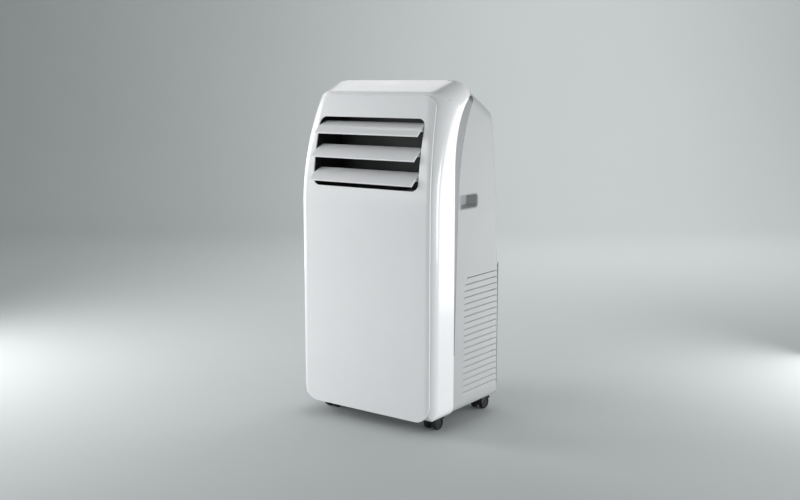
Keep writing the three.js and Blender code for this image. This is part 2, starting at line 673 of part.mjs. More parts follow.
function basePan() {
  const rim = PAN_Z + PAN_RIM;
  const pan = cut(
    keep(casing(INSIDE), aboveSkirt(INSIDE), slab(PAN_Z, rim)),
    keep(casing(INSIDE + WALL), slab(PAN_Z + PAN_THICK, rim + OVER)));
  const sockets = castorPlaces().map(({ x, y }) =>
    disc("z", x, y, STEM_RADIUS + GAP + SOCKET_WALL, PAN_Z, PAN_Z + STEM_LENGTH + SOCKET_WALL, 12));
  const bores = castorPlaces().map(({ x, y }) =>
    disc("z", x, y, STEM_RADIUS + GAP, PAN_Z - OVER, PAN_Z + STEM_LENGTH + GAP, 12));
  return cut(join(pan, ...sockets), ...bores, plugBore(plugPlaces().drain_plug_lower));
}

// ---------------------------------------------------------------- back pieces

function intakeGrille() {
  const face = REAR_STEP + INTAKE_SINK;
  const skin = keep(layer(face, face + INTAKE_THICK), prism("y", intakeOutline(0), 0, DEPTH));
  const half = WIDTH / 2 - INTAKE_SIDE - INTAKE_FRAME;
  const foot = INTAKE_Z + INTAKE_FRAME;
  const pitch = (HEIGHT - INTAKE_DROP - INTAKE_FRAME - foot) / INTAKE_ROWS;
  const slots = [];
  for (let row = 0; row < INTAKE_ROWS; row++) {
    const z = foot + pitch * (row + 0.5) - INTAKE_SLOT / 2;
    for (const [x0, x1] of [[-half, -INTAKE_RIB / 2], [INTAKE_RIB / 2, half]]) {
      slots.push(box(x0, x1, 0, DEPTH, z, z + INTAKE_SLOT));
    }
  }
  return cut(skin, ...slots);
}

function intakeFilter() {
  const skin = layer(FILTER_INSET, FILTER_INSET + FILTER_THICK);
  return keep(skin, prism("y", intakeOutline(-FILTER_MARGIN), 0, DEPTH));
}

// Lower back cover, wrapped round the back corners, with vents on both sides of the exhaust port
// and a bore for the cord gland.
function rearCover() {
  const face = BACK_Y + COVER_PROUD;
  const half = WIDTH / 2 - COVER_SIDE;
  const plan = rounded([
    [-half, 0, 0],
    [half, 0, 0],
    [half, face, COVER_CORNER],
    [-half, face, COVER_CORNER],
  ]);
  const plate = cut(
    keep(prism("z", plan, COVER_Z, COVER_TOP_Z), box(-WIDTH, WIDTH, COVER_FRONT_Y, DEPTH, 0, HEIGHT)),
    casing(REAR_STEP - GAP));
  const edge = WIDTH / 2 - WINDOW_SIDE;
  const room = box(-edge, edge, 0, BACK_Y + GAP, 0, HEIGHT);
  const rear = face + OVER;
  const port = disc("y", PORT_X, PORT_Z, PORT_RADIUS + PORT_WALL + GAP, BACK_Y, rear);
  const gland = disc("y", ...GLAND_AT, GLAND_HEAD + GAP, BACK_Y, rear, 16);
  const reach = PORT_RADIUS + PORT_WALL + COVER_SLOT_CLEAR;
  const slots = [];
  for (let i = 0; i < COVER_SLOTS; i++) {
    const z = PORT_Z + (i - (COVER_SLOTS - 1) / 2) * COVER_SLOT_PITCH;
    slots.push(box(-edge, PORT_X - reach, BACK_Y, rear, z, z + COVER_SLOT_HEIGHT));
  }
  for (let i = 0; i < COVER_SLOTS - 1; i++) {
    const z = COVER_Z + COVER_SLOT_RISE + i * COVER_SLOT_PITCH;
    slots.push(box(PORT_X - reach - COVER_SLOT_STEP, edge, BACK_Y, rear, z, z + COVER_SLOT_HEIGHT));
  }
  return cut(plate, room, port, gland, ...slots);
}

function exhaustCollar() {
  const face = BACK_Y + COVER_PROUD - PORT_SINK;
  const flange = BACK_Y - PORT_FLANGE_SINK;
  const tube = join(
    disc("y", PORT_X, PORT_Z, PORT_RADIUS + PORT_WALL, face - PORT_LENGTH, face),
    disc("y", PORT_X, PORT_Z, PORT_RADIUS + PORT_WALL + PORT_FLANGE, flange - WALL, flange));
  return cut(tube, disc("y", PORT_X, PORT_Z, PORT_RADIUS, face - PORT_LENGTH - OVER, face + OVER));
}

// A bung with a flat head, drawn along Z with its head on top of Z = 0.
function drainPlug() {
  return turned([[0, -PLUG_LENGTH], [PLUG_RADIUS, -PLUG_LENGTH], [PLUG_RADIUS, 0], [PLUG_HEAD, 0],
    [PLUG_HEAD, PLUG_HEAD_THICK], [0, PLUG_HEAD_THICK]]);
}

// The mains cord's bush, with a dimple where the cord would enter.
function cordGland() {
  const { depth, rim, nose, bore, floor } = GLAND;
  return turned([[0, -depth], [GLAND_RADIUS, -depth], [GLAND_RADIUS, 0], [GLAND_HEAD, 0],
    [GLAND_HEAD, rim], [GLAND_RADIUS - 1, nose], [bore, nose], [bore, floor], [0, floor]]);
}

// ---------------------------------------------------------------- air outlet

function vanePivots() {
  return Array.from({ length: VANE_COUNT }, (_, i) => {
    const z = OUTLET_TOP - VANE_TOP_DROP - i * VANE_PITCH;
    return [frontY(z, PIVOT_SET_BACK), z];
  });
}

// The duct behind the outlet: a box open at the front, with holes for the vane pivots and the fan's outlet.
function outletDuct() {
  const duct = (grow, back) => {
    const front = [];
    const foot = DUCT_FOOT - grow;
    const top = DUCT_TOP + grow;
    for (let i = 0; i <= 6; i++) {
      const z = THREE.MathUtils.lerp(foot, top, i / 6);
      front.push([frontY(z, PANEL_PROUD + 2 * GAP), z]);
    }
    return [...front, [back, top], [back, foot]];
  };
  const outer = prism("x", duct(WALL, DUCT_BACK_Y + WALL), -DUCT_HALF - WALL, DUCT_HALF + WALL);
  const inner = prism("x", duct(0, DUCT_BACK_Y), -DUCT_HALF, DUCT_HALF);
  const mouth = duct(0, DUCT_BACK_Y).map(([y, z]) => [y - OVER, z]);
  const ahead = prism("x", mouth, -DUCT_HALF, DUCT_HALF);
  const pivots = vanePivots().map(([y, z]) =>
    disc("x", y, z, PIVOT_RADIUS + GAP, -WIDTH, WIDTH, 12));
  const throat = scrollThroat(COLD_FAN);
  const y0 = COLD_FAN_FRONT_Y + SCROLL_WALL;
  const y1 = COLD_FAN_FRONT_Y + scrollDepth(COLD_FAN) - SCROLL_WALL;
  const fanHole = box(throat[0], throat[1], y0, y1, DUCT_FOOT - WALL - OVER, DUCT_FOOT + OVER);
  return cut(outer, inner, ahead, ...pivots, fanHole);
}

// A vane's section: [along the chord towards the lip, up], about its pivot, before it is tilted.
function vaneSection() {
  const half = VANE_CHORD / 2;
  const lipU = half - VANE_LIP;
  const top = [];
  const bottom = [];
  const steps = 5;
  for (let i = 0; i <= steps; i++) {
    const share = i / steps;
    const u = THREE.MathUtils.lerp(-half, lipU, share);
    const rise = VANE_CAMBER * (1 - (2 * share - 1) ** 2);
    top.push([u, rise + THREE.MathUtils.lerp(VANE_THICK / 2, VANE_LIP, share)]);
    bottom.push([u, rise - THREE.MathUtils.lerp(VANE_THICK / 2, VANE_LIP, share)]);
  }
  const lip = [60, 20, -20, -60].map((degrees) => {
    const angle = THREE.MathUtils.degToRad(degrees);
    return [lipU + VANE_LIP * Math.cos(angle), VANE_LIP * Math.sin(angle)];
  });
  return [...top, ...lip, ...bottom.reverse()];
}

// A vane about its pivot, with a pin at each end and the crank that the link drives. The blade lies ahead of
// the pivot, so that its pins run behind the front panel.
function vane() {
  const half = OUTLET_HALF - VANE_END_GAP;
  const ahead = PIVOT_SET_BACK - VANE_SET_BACK;
  const tilted = vaneSection().map(([u, v]) => [
    -u * Math.cos(VANE_TILT) - v * Math.sin(VANE_TILT) - ahead,
    -u * Math.sin(VANE_TILT) + v * Math.cos(VANE_TILT),
  ]);
  const blade = prism("x", tilted, -half, half);
  const reach = DUCT_HALF + WALL - PIN_SINK;
  const pin = disc("x", 0, 0, PIVOT_RADIUS, -reach, reach, 10);
  const boss = PIVOT_RADIUS + BOSS_WALL;
  const arm = prism("x", armOutline([0, 0], CRANK, boss), half - CRANK_THICK, half);
  const linkPin = disc("x", ...CRANK, LINK_PIN_RADIUS, half - OVER, half + GAP + LINK_THICK + GAP, 8);
  const ears = [-1, 1].map((side) => {
    const ear = armOutline([0, 0], [-ahead, 0], boss);
    const [from, to] = [side * half, side * (half - WALL)].sort((p, q) => p - q);
    return prism("x", ear, from, to);
  });
  return join(blade, pin, arm, linkPin, ...ears);
}

// A flat bar with round ends between two points.
function armOutline(from, to, radius) {
  const angle = Math.atan2(to[1] - from[1], to[0] - from[0]);
  const end = ([u, v], start) =>
    Array.from({ length: 7 }, (_, i) => {
      const a = angle + start + (Math.PI * i) / 6;
      return [u + radius * Math.cos(a), v + radius * Math.sin(a)];
    });
  return [...end(to, -Math.PI / 2), ...end(from, Math.PI / 2)];
}

function vaneLink() {
  const x = OUTLET_HALF - VANE_END_GAP + GAP;
  const pins = vanePivots().map(([y, z]) => [y + CRANK[0], z + CRANK[1]]);
  const far = x + LINK_THICK;
  const bars = pins.slice(1).map((pin, i) =>
    prism("x", armOutline(pins[i], pin, LINK_WIDTH / 2), x, far));
  const bores = pins.map(([y, z]) =>
    disc("x", y, z, LINK_PIN_RADIUS + GAP, x - OVER, far + OVER, 8));
  return cut(join(...bars), ...bores);
}

// ---------------------------------------------------------------- fans

const scrollDepth = (fan) => fan.depth + 2 * SCROLL_ROOM + 2 * SCROLL_WALL;

// The scroll's outline round its fan, with a throat that runs towards +U and lies on the +V side.
function scrollOutline(fan, inset) {
  const steps = CIRCLE_STEPS;
  const points = [];
  for (let i = 0; i <= steps; i++) {
    const angle = SCROLL_START - (SCROLL_SWEEP * i) / steps;
    const radius = fan.start + (fan.growth * i) / steps - inset;
    points.push([radius * Math.cos(angle), radius * Math.sin(angle)]);
  }
  const [low, high] = scrollThroat(fan);
  const end = fan.outlet + (inset > 0 ? OVER : 0);
  return [...points, [end, high - inset], [end, low + inset]];
}

// How far the throat's two walls are from the fan's axis.
function scrollThroat(fan) {
  return [fan.start * Math.sin(SCROLL_START), fan.start + fan.growth];
}

// A scroll along Z, closed at Z = 0 apart from the shaft's hole, with its inlet at the far side.
function scroll(fan) {
  const depth = scrollDepth(fan);
  const inletRadius = fan.radius * INLET_SHARE;
  return cut(
    prism("z", scrollOutline(fan, 0), 0, depth),
    prism("z", scrollOutline(fan, SCROLL_WALL), SCROLL_WALL, depth - SCROLL_WALL),
    disc("z", 0, 0, inletRadius, depth - SCROLL_WALL - OVER, depth + OVER),
    disc("z", 0, 0, SHAFT_RADIUS + SHAFT_HOLE, -OVER, SCROLL_WALL + OVER, 12));
}

// A centrifugal wheel along Z: back plate with a hub, forward-curved blades and a rim at the inlet.
function fanWheel(fan) {
  const back = disc("z", 0, 0, fan.radius, 0, FAN_PLATE);
  const hub = disc("z", 0, 0, HUB_RADIUS, 0, fan.depth * HUB_SHARE, 16);
  const top = fan.depth - FAN_PLATE;
  const rim = cut(
    disc("z", 0, 0, fan.radius, top, fan.depth),
    disc("z", 0, 0, fan.radius - BLADE_CHORD, top - OVER, fan.depth + OVER));
  const [thick, chord] = [BLADE_THICK / 2, BLADE_CHORD / 2];
  const blades = Array.from({ length: BLADE_COUNT }, (_, i) => {
    const blade = box(-thick, thick, -chord, chord, FAN_PLATE / 2, fan.depth - FAN_PLATE / 2);
    blade.rotateZ(BLADE_LEAN).translate(0, fan.radius - BLADE_CHORD * BLADE_SHARE, 0);
    return blade.rotateZ((2 * Math.PI * i) / BLADE_COUNT);
  });
  const bore = disc("z", 0, 0, SHAFT_RADIUS + GAP, -OVER, fan.depth, 12);
  return cut(join(back, hub, rim, ...blades), bore);
}

// A motor along Z. Its flange is at Z = 0, its body runs up from there, and three arms hold it.
function motor({ radius, length }, armReach) {
  const step = MOTOR_STEP;
  const body = turned([
    [0, step.rise], [radius - step.edge, step.rise], [radius, step.foot],
    [radius, length - step.edge], [radius - step.edge, length], [0, length],
  ]);
  const half = MOTOR_ARM / 2;
  const arms = [0, 1, 2].map((i) =>
    box(-half, half, radius - MOTOR_LAP, armReach, 0, WALL).rotateZ((2 * Math.PI * i) / 3));
  const hub = disc("z", 0, 0, radius - step.hub, 0, WALL);
  const bore = disc("z", 0, 0, SHAFT_RADIUS + GAP, -OVER, step.bore, 12);
  return cut(join(body, hub, ...arms), bore);
}

// ---------------------------------------------------------------- coils, compressor and pipes

function evaporatorCoil() {
  const half = WIDTH / 2 - COIL_SIDE;
  const foot = TRAY_Z + TRAY_THICK + COIL_LIFT;
  const top = HEIGHT - INTAKE_DROP;
  const { thick, front, back, ends, lap } = COIL_PLATE;
  const rear = backY(top, FILTER_INSET + FILTER_THICK + COIL_CLEAR) - back;
  const face = rear - COIL_THICK;
  const fins = box(-half + thick / 2 - lap, half - thick / 2 + lap, face, rear, foot, top);
  const plates = [-1, 1].map((side) => {
    const middle = side * half;
    return box(middle - thick / 2, middle + thick / 2, face - front, rear + back, foot - ends, top + ends);
  });
  return join(fins, ...plates);
}

function condenserCoil() {
  const outer = WIDTH / 2 - HOT_COIL.side;
  const back = HOT_COIL.front + HOT_COIL.length;
  const top = HOT_COIL.z + HOT_COIL.height;
  const fins = box(outer - HOT_COIL.thick, outer, HOT_COIL.front, back, HOT_COIL.z, top);
  const { thick, inside, outside, below, above } = HOT_PLATE;
  const inner = outer - HOT_COIL.thick - inside;
  const plates = [HOT_COIL.front, back].map((y) =>
    box(inner, outer + outside, y - thick / 2, y + thick / 2, HOT_COIL.z - below, top + above));
  return join(fins, ...plates);
}

function compressor() {
  const { x, y, radius, height, dome, foot, crown } = COMPRESSOR;
  const body = turned([
    [0, foot], [radius - dome, foot], [radius, foot + dome], [radius, height - dome],
    [radius - dome + crown, height - crown], [0, height],
  ]);
  const { spread, low, high, cup, cupTop } = MOUNT_FEET;
  const feet = prism("z", circle(0, 0, radius + spread, 3), low, high);
  const cups = circle(0, 0, radius - spread / 2, 3).map(([u, v]) =>
    disc("z", u, v, cup, 0, cupTop, 12));
  const bottom = height - TERMINAL.below;
  const lid = height + TERMINAL.above;
  const terminal = disc("z", TERMINAL.x, TERMINAL.y, TERMINAL.radius, bottom, lid, 12);
  const whole = join(body, feet, ...cups, terminal, accumulator());
  return whole.translate(x, y, PAN_Z + PAN_THICK + GAP);
}

// The suction accumulator beside the compressor, with its strap and the elbow into the compressor's side.
function accumulator() {
  const { x, y, radius, height, z, edge, taper } = ACCUMULATOR;
  const tank = turned([
    [0, 0], [radius - edge, 0], [radius, taper], [radius, height - taper],
    [radius - edge, height], [0, height],
  ]).translate(x, y, z);
  const strapZ = z + height * STRAP.share;
  const strap = prism("z", armOutline([0, 0], [x, y], STRAP.half), strapZ, strapZ + STRAP.height);
  const low = z - 3.5 * PIPE_RADIUS;
  const elbow = pipe(PIPE_RADIUS, [x, y, z + PIPE_RADIUS], [x, y, z - 1.5 * PIPE_RADIUS],
    [x * 0.85, y * 0.85, low], [x * 0.5, y * 0.5, low]);
  return join(tank, strap, elbow);
}

// ---------------------------------------------------------------- castors

function castorPlaces() {
  const half = WIDTH / 2 - CASTOR_SIDE;
  return [
    { tag: "front_left", x: -half, y: CASTOR_FRONT_Y },
    { tag: "front_right", x: half, y: CASTOR_FRONT_Y },
    { tag: "rear_left", x: -half, y: CASTOR_BACK_Y },
    { tag: "rear_right", x: half, y: CASTOR_BACK_Y },
  ];
}

// Stem, web and hood of a twin-wheel castor, about its swivel axis with Z from the floor.
function castorHood() {
  const inner = WHEEL_RADIUS + HOOD_ROOM;
  const outer = inner + HOOD_THICK;
  const centre = [CASTOR_TRAIL, WHEEL_RADIUS];
  const arc = (radius, steps) =>
    Array.from({ length: steps + 1 }, (_, i) => {
      const a = THREE.MathUtils.degToRad(HOOD_ARC.from + (HOOD_ARC.sweep * i) / steps);
      return [centre[0] + radius * Math.cos(a), centre[1] + radius * Math.sin(a)];
    });
  const hood = prism("x", [...arc(outer, 7), ...arc(inner, 7).reverse()], -WHEEL_OUT, WHEEL_OUT);
  const [half, drop] = WEB_FOOT;
  const foot = [-half, half].map((u) => [centre[0] + u, centre[1] - drop]);
  const side = WEB_WIDTH / 2;
  const web = prism("x", [...arc(outer - HOOD_THICK / 4, 6), ...foot], -side, side);
  const top = PAN_Z - GAP;
  const neck = disc("z", 0, 0, STEM_RADIUS + NECK.wall, centre[1] + NECK.above, top, 12);
  const stem = disc("z", 0, 0, STEM_RADIUS, top - OVER, PAN_Z + STEM_LENGTH, 12);
  const bore = disc("x", ...centre, AXLE_RADIUS + GAP, -WEB_WIDTH, WEB_WIDTH, 10);
  const wheels = [[-WHEEL_OUT - OVER, -side], [side, WHEEL_OUT + OVER]].map(([from, to]) =>
    disc("x", ...centre, inner, from, to, 20));
  return cut(join(hood, web, neck, stem), bore, ...wheels);
}

// A dished wheel along X about its own middle.
function castorWheel() {
  const half = WHEEL_WIDTH / 2;
  const [off, down] = TREAD_EDGE;
  const { rim, slope, depth } = WHEEL_DISH;
  const body = turned([
    [0, -half], [WHEEL_RADIUS - off, -half], [WHEEL_RADIUS, -half + down],
    [WHEEL_RADIUS, half - down], [WHEEL_RADIUS - off, half], [WHEEL_RADIUS - rim, half],
    [WHEEL_RADIUS - rim - slope, half - depth], [0, half - depth],
  ]);
  const bore = disc("z", 0, 0, AXLE_RADIUS + GAP, -half - OVER, half - AXLE_END + OVER, 10);
  return cut(body, bore).rotateY(Math.PI / 2);
}

const castorAxle = () =>
  disc("x", 0, 0, AXLE_RADIUS, AXLE_END - WHEEL_OUT, WHEEL_OUT - AXLE_END, 10);

// ---------------------------------------------------------------- materials

const paint = (color, roughness, metalness = 0) =>
  new THREE.MeshStandardMaterial({ color, roughness, metalness });
const MATERIALS = {
  gloss_white: paint(0xeceeef, 0.22),
  satin_white: paint(0xdadcdd, 0.42),
  satin_grey: paint(0x919494, 0.4, 0.2),
  smoke_window: paint(0xe4e6e8, 0.12),
  matt_black: paint(0x17181a, 0.6),
  soft_black: paint(0x101113, 0.75),
  rubber: paint(0x1c1c1c, 0.85),
  filter_mesh: paint(0x4a4f55, 0.8),
  galvanised: paint(0xb4b8ba, 0.45, 0.8),
  fin_aluminium: paint(0xc9cccf, 0.4, 0.9),
  copper: paint(0xb8693f, 0.35, 1),
  black_enamel: paint(0x1d1f22, 0.35),
  motor_steel: paint(0x8d9194, 0.4, 0.9),
  circuit_green: paint(0x1f5b3a, 0.5),
};

// ---------------------------------------------------------------- assembly

const unit = new THREE.Group();

function add(name, geometry, material, parent = unit) {
  const flat = loose(geometry);
  flat.computeVertexNormals();
  const mesh = new THREE.Mesh(flat, MATERIALS[material].clone());
  mesh.name = name;
  parent.add(mesh);
  return mesh;
}

function addCasing() {
  add("front_shell", frontShell(), "gloss_white");
  add("front_panel", frontPanel(), "gloss_white");
  add("rear_shell", rearShell(), "satin_white");
  add("base_pan", basePan(), "galvanised");
  for (const [tag, side] of [["left", -1], ["right", 1]]) {
    add(`side_trim_${tag}`, sideTrim(side), "satin_grey");
    add(`handle_cup_${tag}`, handleCup(side), "satin_white");
  }
}

// Places a body that was drawn along Z so that it runs along Y, towards the back.
function alongY(mesh, x, y, z) {
  mesh.rotation.x = -Math.PI / 2;
  mesh.position.set(x, y, z);
}

function addBack() {
  add("intake_grille", intakeGrille(), "satin_white");
  add("intake_filter", intakeFilter(), "filter_mesh");
  add("rear_cover", rearCover(), "satin_white");
  add("exhaust_collar", exhaustCollar(), "satin_white");
  for (const [name, z] of Object.entries(plugPlaces())) {
    alongY(add(name, drainPlug(), "rubber"), PLUG_X, backY(z, 0) + GAP, z);
  }
  alongY(add("cord_gland", cordGland(), "rubber"), GLAND_AT[0], BACK_Y, GLAND_AT[1]);
}

function addOutlet() {
  add("outlet_duct", outletDuct(), "matt_black");
  const names = ["vane_top", "vane_middle", "vane_bottom"];
  vanePivots().forEach(([y, z], i) => add(names[i], vane(), "gloss_white").position.set(0, y, z));
  add("vane_link", vaneLink(), "matt_black");
  const [y, z] = vanePivots()[0];
  const { radius, length, offset, boss, bossLength } = VANE_MOTOR;
  const right = -DUCT_HALF - WALL - GAP;
  const body = disc("x", y + offset, z, radius, right - length, right, 16);
  const arm = prism("x", armOutline([y + offset, z], [y, z], boss), right - bossLength, right);
  add("vane_motor", join(body, arm), "motor_steel");
}

function addControls() {
  const frame = plateFrame();
  unit.add(frame);
  const keyX = (i) => KEY_FRONT_X + i * KEY_PITCH;
  const keyHoles = KEY_NAMES.map((_, i) =>
    disc("z", keyX(i), KEY_ROW, KEY_RADIUS + GAP, -WALL - OVER, OVER, 16));
  const window = (grow) => {
    const [half, deep] = WINDOW_SIZE.map((size) => size / 2 + grow);
    return rectangle(-half, half, WINDOW_ROW - deep, WINDOW_ROW + deep, WINDOW_ROUND);
  };
  const windowHole = prism("z", window(GAP), -WALL - OVER, OVER);
  const plate = cut(prism("z", plateOutline(0), -WALL, 0), ...keyHoles, windowHole);
  add("control_panel", plate, "gloss_white", frame);
  add("display_window", prism("z", window(0), -WALL, 0), "smoke_window", frame);
  KEY_NAMES.forEach((name, i) => {
    const key = disc("z", 0, 0, KEY_RADIUS, -KEY_HEIGHT, 0, 16);
    add(name, key, "gloss_white", frame).position.set(keyX(i), KEY_ROW, 0);
  });
  const board = -KEY_HEIGHT - KEY_TRAVEL - GAP;
  const deep = plateLength() / 2 - BOARD_MARGIN;
  const boardOutline = rectangle(-BOARD_HALF, BOARD_HALF, -deep, deep);
  add("control_board", prism("z", boardOutline, board - BOARD_THICK, board), "circuit_green", frame);
}

// A group in the unit whose own X, Y and Z point along three given directions.
function turnedGroup(...directions) {
  const group = new THREE.Group();
  const axes = directions.map((direction) => new THREE.Vector3(...direction));
  group.quaternion.setFromRotationMatrix(new THREE.Matrix4().makeBasis(...axes));
  unit.add(group);
  return group;
}

function addColdSide() {
  const tray = cut(
    keep(casing(INSIDE), slab(TRAY_Z, TRAY_Z + TRAY_RIM)),
    keep(casing(INSIDE + WALL), slab(TRAY_Z + TRAY_THICK, TRAY_Z + TRAY_RIM + OVER)));
  add("drip_tray", cut(tray, plugBore(plugPlaces().drain_plug_upper)), "satin_white");
  const fanZ = DUCT_FOOT - WALL - GAP - COLD_FAN.outlet;
  const cold = turnedGroup([0, 0, 1], [1, 0, 0], [0, 1, 0]);
  cold.position.set(0, COLD_FAN_FRONT_Y, fanZ);
  add("evaporator_scroll", scroll(COLD_FAN), "satin_white", cold);
  const wheelZ = SCROLL_WALL + SCROLL_ROOM;
  add("evaporator_wheel", fanWheel(COLD_FAN), "matt_black", cold).position.z = wheelZ;
  const back = scrollDepth(COLD_FAN) + GAP;
  add("evaporator_motor", motor(COLD_MOTOR, COLD_FAN.radius), "motor_steel", cold).position.z = back;
  const shaft = disc(
    "z", 0, 0, SHAFT_RADIUS, wheelZ - SHAFT_REACH.wheel, back + SHAFT_REACH.motor, 12);
  add("evaporator_shaft", shaft, "motor_steel", cold);
  add("evaporator_coil", evaporatorCoil(), "fin_aluminium");
}

function addHotSide() {
  const hot = turnedGroup([0, 1, 0], [0, 0, 1], [1, 0, 0]);
  hot.position.set(PORT_X - scrollDepth(HOT_FAN) / 2, ...HOT_FAN_AT);
  add("condenser_scroll", scroll(HOT_FAN), "satin_white", hot);
  add("condenser_wheel", fanWheel(HOT_FAN), "matt_black", hot).position.z = SCROLL_WALL + SCROLL_ROOM;
  const drive = motor(HOT_MOTOR, HOT_MOTOR.radius + MOTOR_MOUNT);
  const motorMesh = add("condenser_motor", drive, "motor_steel", hot);
  motorMesh.rotation.x = Math.PI;
  motorMesh.position.z = -GAP;
  const reach = SCROLL_WALL + SCROLL_ROOM + HOT_FAN.depth * HUB_SHARE;
  const shaft = disc("z", 0, 0, SHAFT_RADIUS, -SHAFT_REACH.motor, reach, 12);
  add("condenser_shaft", shaft, "motor_steel", hot);
  add("condenser_coil", condenserCoil(), "fin_aluminium");
  add("compressor", compressor(), "black_enamel");
}

function addPipes() {
  const top = PAN_Z + PAN_THICK + GAP + COMPRESSOR.height;
  const coilX = WIDTH / 2 - HOT_COIL.side - HOT_COIL.thick / 2;
  const coilTop = HOT_COIL.z + HOT_COIL.height + PIPE_RADIUS + 4;
  const { x, y } = COMPRESSOR;
  const port = x - 20;
  const run = coilTop + 4;
  const discharge = [
    [port, y, top + GAP + OVER], [port, y, top + 20], [x + 10, y + 4, run], [0, y + 4, run],
    [coilX - 30, y, coilTop + 2], [coilX, y, coilTop + 2], [coilX + 6, y - 12, coilTop + 2],
  ];
  add("discharge_pipe", pipe(PIPE_RADIUS, ...discharge), "copper");
  const [u, v] = [x + ACCUMULATOR.x, y + ACCUMULATOR.y];
  const lid = PAN_Z + PAN_THICK + GAP + ACCUMULATOR.z + ACCUMULATOR.height + GAP;
  const suction = [
    [u, v, lid], [u, v, lid + 26], [u + 6, v - 12, lid + 48], [u + 30, v - 18, TRAY_Z - 14],
  ];
  add("suction_pipe", pipe(PIPE_RADIUS, ...suction), "copper");
}

function addElectrics() {
  const right = WIDTH / 2 - INSIDE - BOX_SIDE;
  const left = right - BOX_SIZE.x;
  const foot = TRAY_Z + TRAY_THICK + BOX_LIFT;
  const top = foot + BOX_SIZE.z;
  const back = BOX_FRONT_Y + BOX_SIZE.y;
  const whole = box(left, right, BOX_FRONT_Y, back, foot, top);
  const room = box(
    left + WALL, right - WALL, BOX_FRONT_Y + WALL, back - WALL, foot + WALL, top + OVER);
  add("electrical_box", cut(whole, room), "galvanised");
}

function addCastors() {
  for (const { tag, x, y } of castorPlaces()) {
    const castor = new THREE.Group();
    castor.position.set(x, y, 0);
    unit.add(castor);
    add(`castor_hood_${tag}`, castorHood(), "soft_black", castor);
    const middle = WHEEL_OUT - WHEEL_WIDTH / 2;
    for (const [part, side] of [["left", -1], ["right", 1]]) {
      const wheel = add(`castor_wheel_${tag}_${part}`, castorWheel(), "soft_black", castor);
      wheel.position.set(side * middle, CASTOR_TRAIL, WHEEL_RADIUS);
      if (side < 0) wheel.rotation.z = Math.PI;
    }
    const axle = add(`castor_axle_${tag}`, castorAxle(), "motor_steel", castor);
    axle.position.set(0, CASTOR_TRAIL, WHEEL_RADIUS);
  }
}

addCasing();
addBack();
addOutlet();
addControls();
addColdSide();
addHotSide();
addPipes();
addElectrics();
addCastors();

export default unit;
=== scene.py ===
import json
import math

import bmesh
import bpy
from mathutils import Matrix, Vector


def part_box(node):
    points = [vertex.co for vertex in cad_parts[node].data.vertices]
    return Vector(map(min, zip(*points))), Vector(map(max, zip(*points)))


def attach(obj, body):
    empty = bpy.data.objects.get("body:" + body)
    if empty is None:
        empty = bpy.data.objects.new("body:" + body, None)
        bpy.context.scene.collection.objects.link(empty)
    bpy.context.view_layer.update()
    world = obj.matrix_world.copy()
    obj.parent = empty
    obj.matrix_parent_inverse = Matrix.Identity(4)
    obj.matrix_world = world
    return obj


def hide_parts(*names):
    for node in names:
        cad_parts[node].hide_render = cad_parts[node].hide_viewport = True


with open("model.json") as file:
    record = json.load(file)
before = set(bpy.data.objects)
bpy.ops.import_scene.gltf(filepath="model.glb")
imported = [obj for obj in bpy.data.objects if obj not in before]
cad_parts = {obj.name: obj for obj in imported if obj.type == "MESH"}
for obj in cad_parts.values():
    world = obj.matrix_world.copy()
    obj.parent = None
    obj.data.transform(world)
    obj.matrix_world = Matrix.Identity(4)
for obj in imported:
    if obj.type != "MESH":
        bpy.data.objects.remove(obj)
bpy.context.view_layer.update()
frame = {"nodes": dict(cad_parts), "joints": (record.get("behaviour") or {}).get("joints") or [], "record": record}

# ---------------------------------------------------------------- sizes, in millimetres

MM = 0.001  # one millimetre in metres


def edges(node):
    """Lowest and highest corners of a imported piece, in millimetres."""
    low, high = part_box(node)
    return Vector(low) / MM, Vector(high) / MM


HOOD_LOW, HOOD_HIGH = edges("front_shell")
PANEL_LOW, PANEL_HIGH = edges("front_panel")
COVER_LOW, COVER_HIGH = edges("rear_cover")
INTAKE_LOW, INTAKE_HIGH = edges("intake_grille")
CUP_LOW, CUP_HIGH = edges("handle_cup_right")
PORT_LOW, PORT_HIGH = edges("exhaust_collar")
PAN_LOW, PAN_HIGH = edges("base_pan")

# Casing
HALF_WIDTH = HOOD_HIGH.x
RIDGE_Z = HOOD_HIGH.z
PANEL_FACE_Y = PANEL_LOW.y
HOOD_FACE_Y = HOOD_LOW.y
FOOT_Z = HOOD_LOW.z
BACK_FACE_Y = COVER_HIGH.y - 5  # the rear cover stands this proud
WALL = 2.5
GAP = 0.4
REAR_STEP = 2  # rear shell inside the hood
SKIRT_ROUND = 20
SKIRT_LIP = 10  # the curl under the casing reaches this far in
FRONT_CORNER = 20
BROW_CORNER = 46
SHOULDER = 35

# Side outline, heights counted down from the ridge
LEAN_DROP = 250
LEAN_RADIUS = 593
LEAN_ANGLE = math.radians(21.9)
PLATE_FRONT = (-71, -20)
RIDGE_FRONT_Y = -18
RIDGE_BACK_Y = -6
ROOF_FALL = 0.53
BACK_BEND_Z = 200
BACK_RADIUS = 2750
BACK_BEND_DROP = 90
BROW_ROUND = 10
ROOF_END_ROUND = 40

# Front panel and outlet
PANEL_TOP_ROUND = 29
PANEL_FOOT_ROUND = 32
PANEL_TAPER = 0.58  # the edge moves in by this share of the corner's growing radius
PANEL_EDGE = 1.7  # moulded radius round the panel's face
OUTLET_HALF = 128
OUTLET_DROP = 71
OUTLET_HEIGHT = 135
OUTLET_ROUND = 15
DUCT_ROOM = 7
VANE_HALF = OUTLET_HALF - 4
VANE_CHORD = 45
VANE_THICK = 2.2
VANE_LIP = 1.85
VANE_CAMBER = 3
VANE_TILT = math.radians(30)
VANE_AHEAD = 12.5  # pivot to the middle of the blade
PIVOT_RADIUS = 2.5
VANE_CRANK = (14, -5)

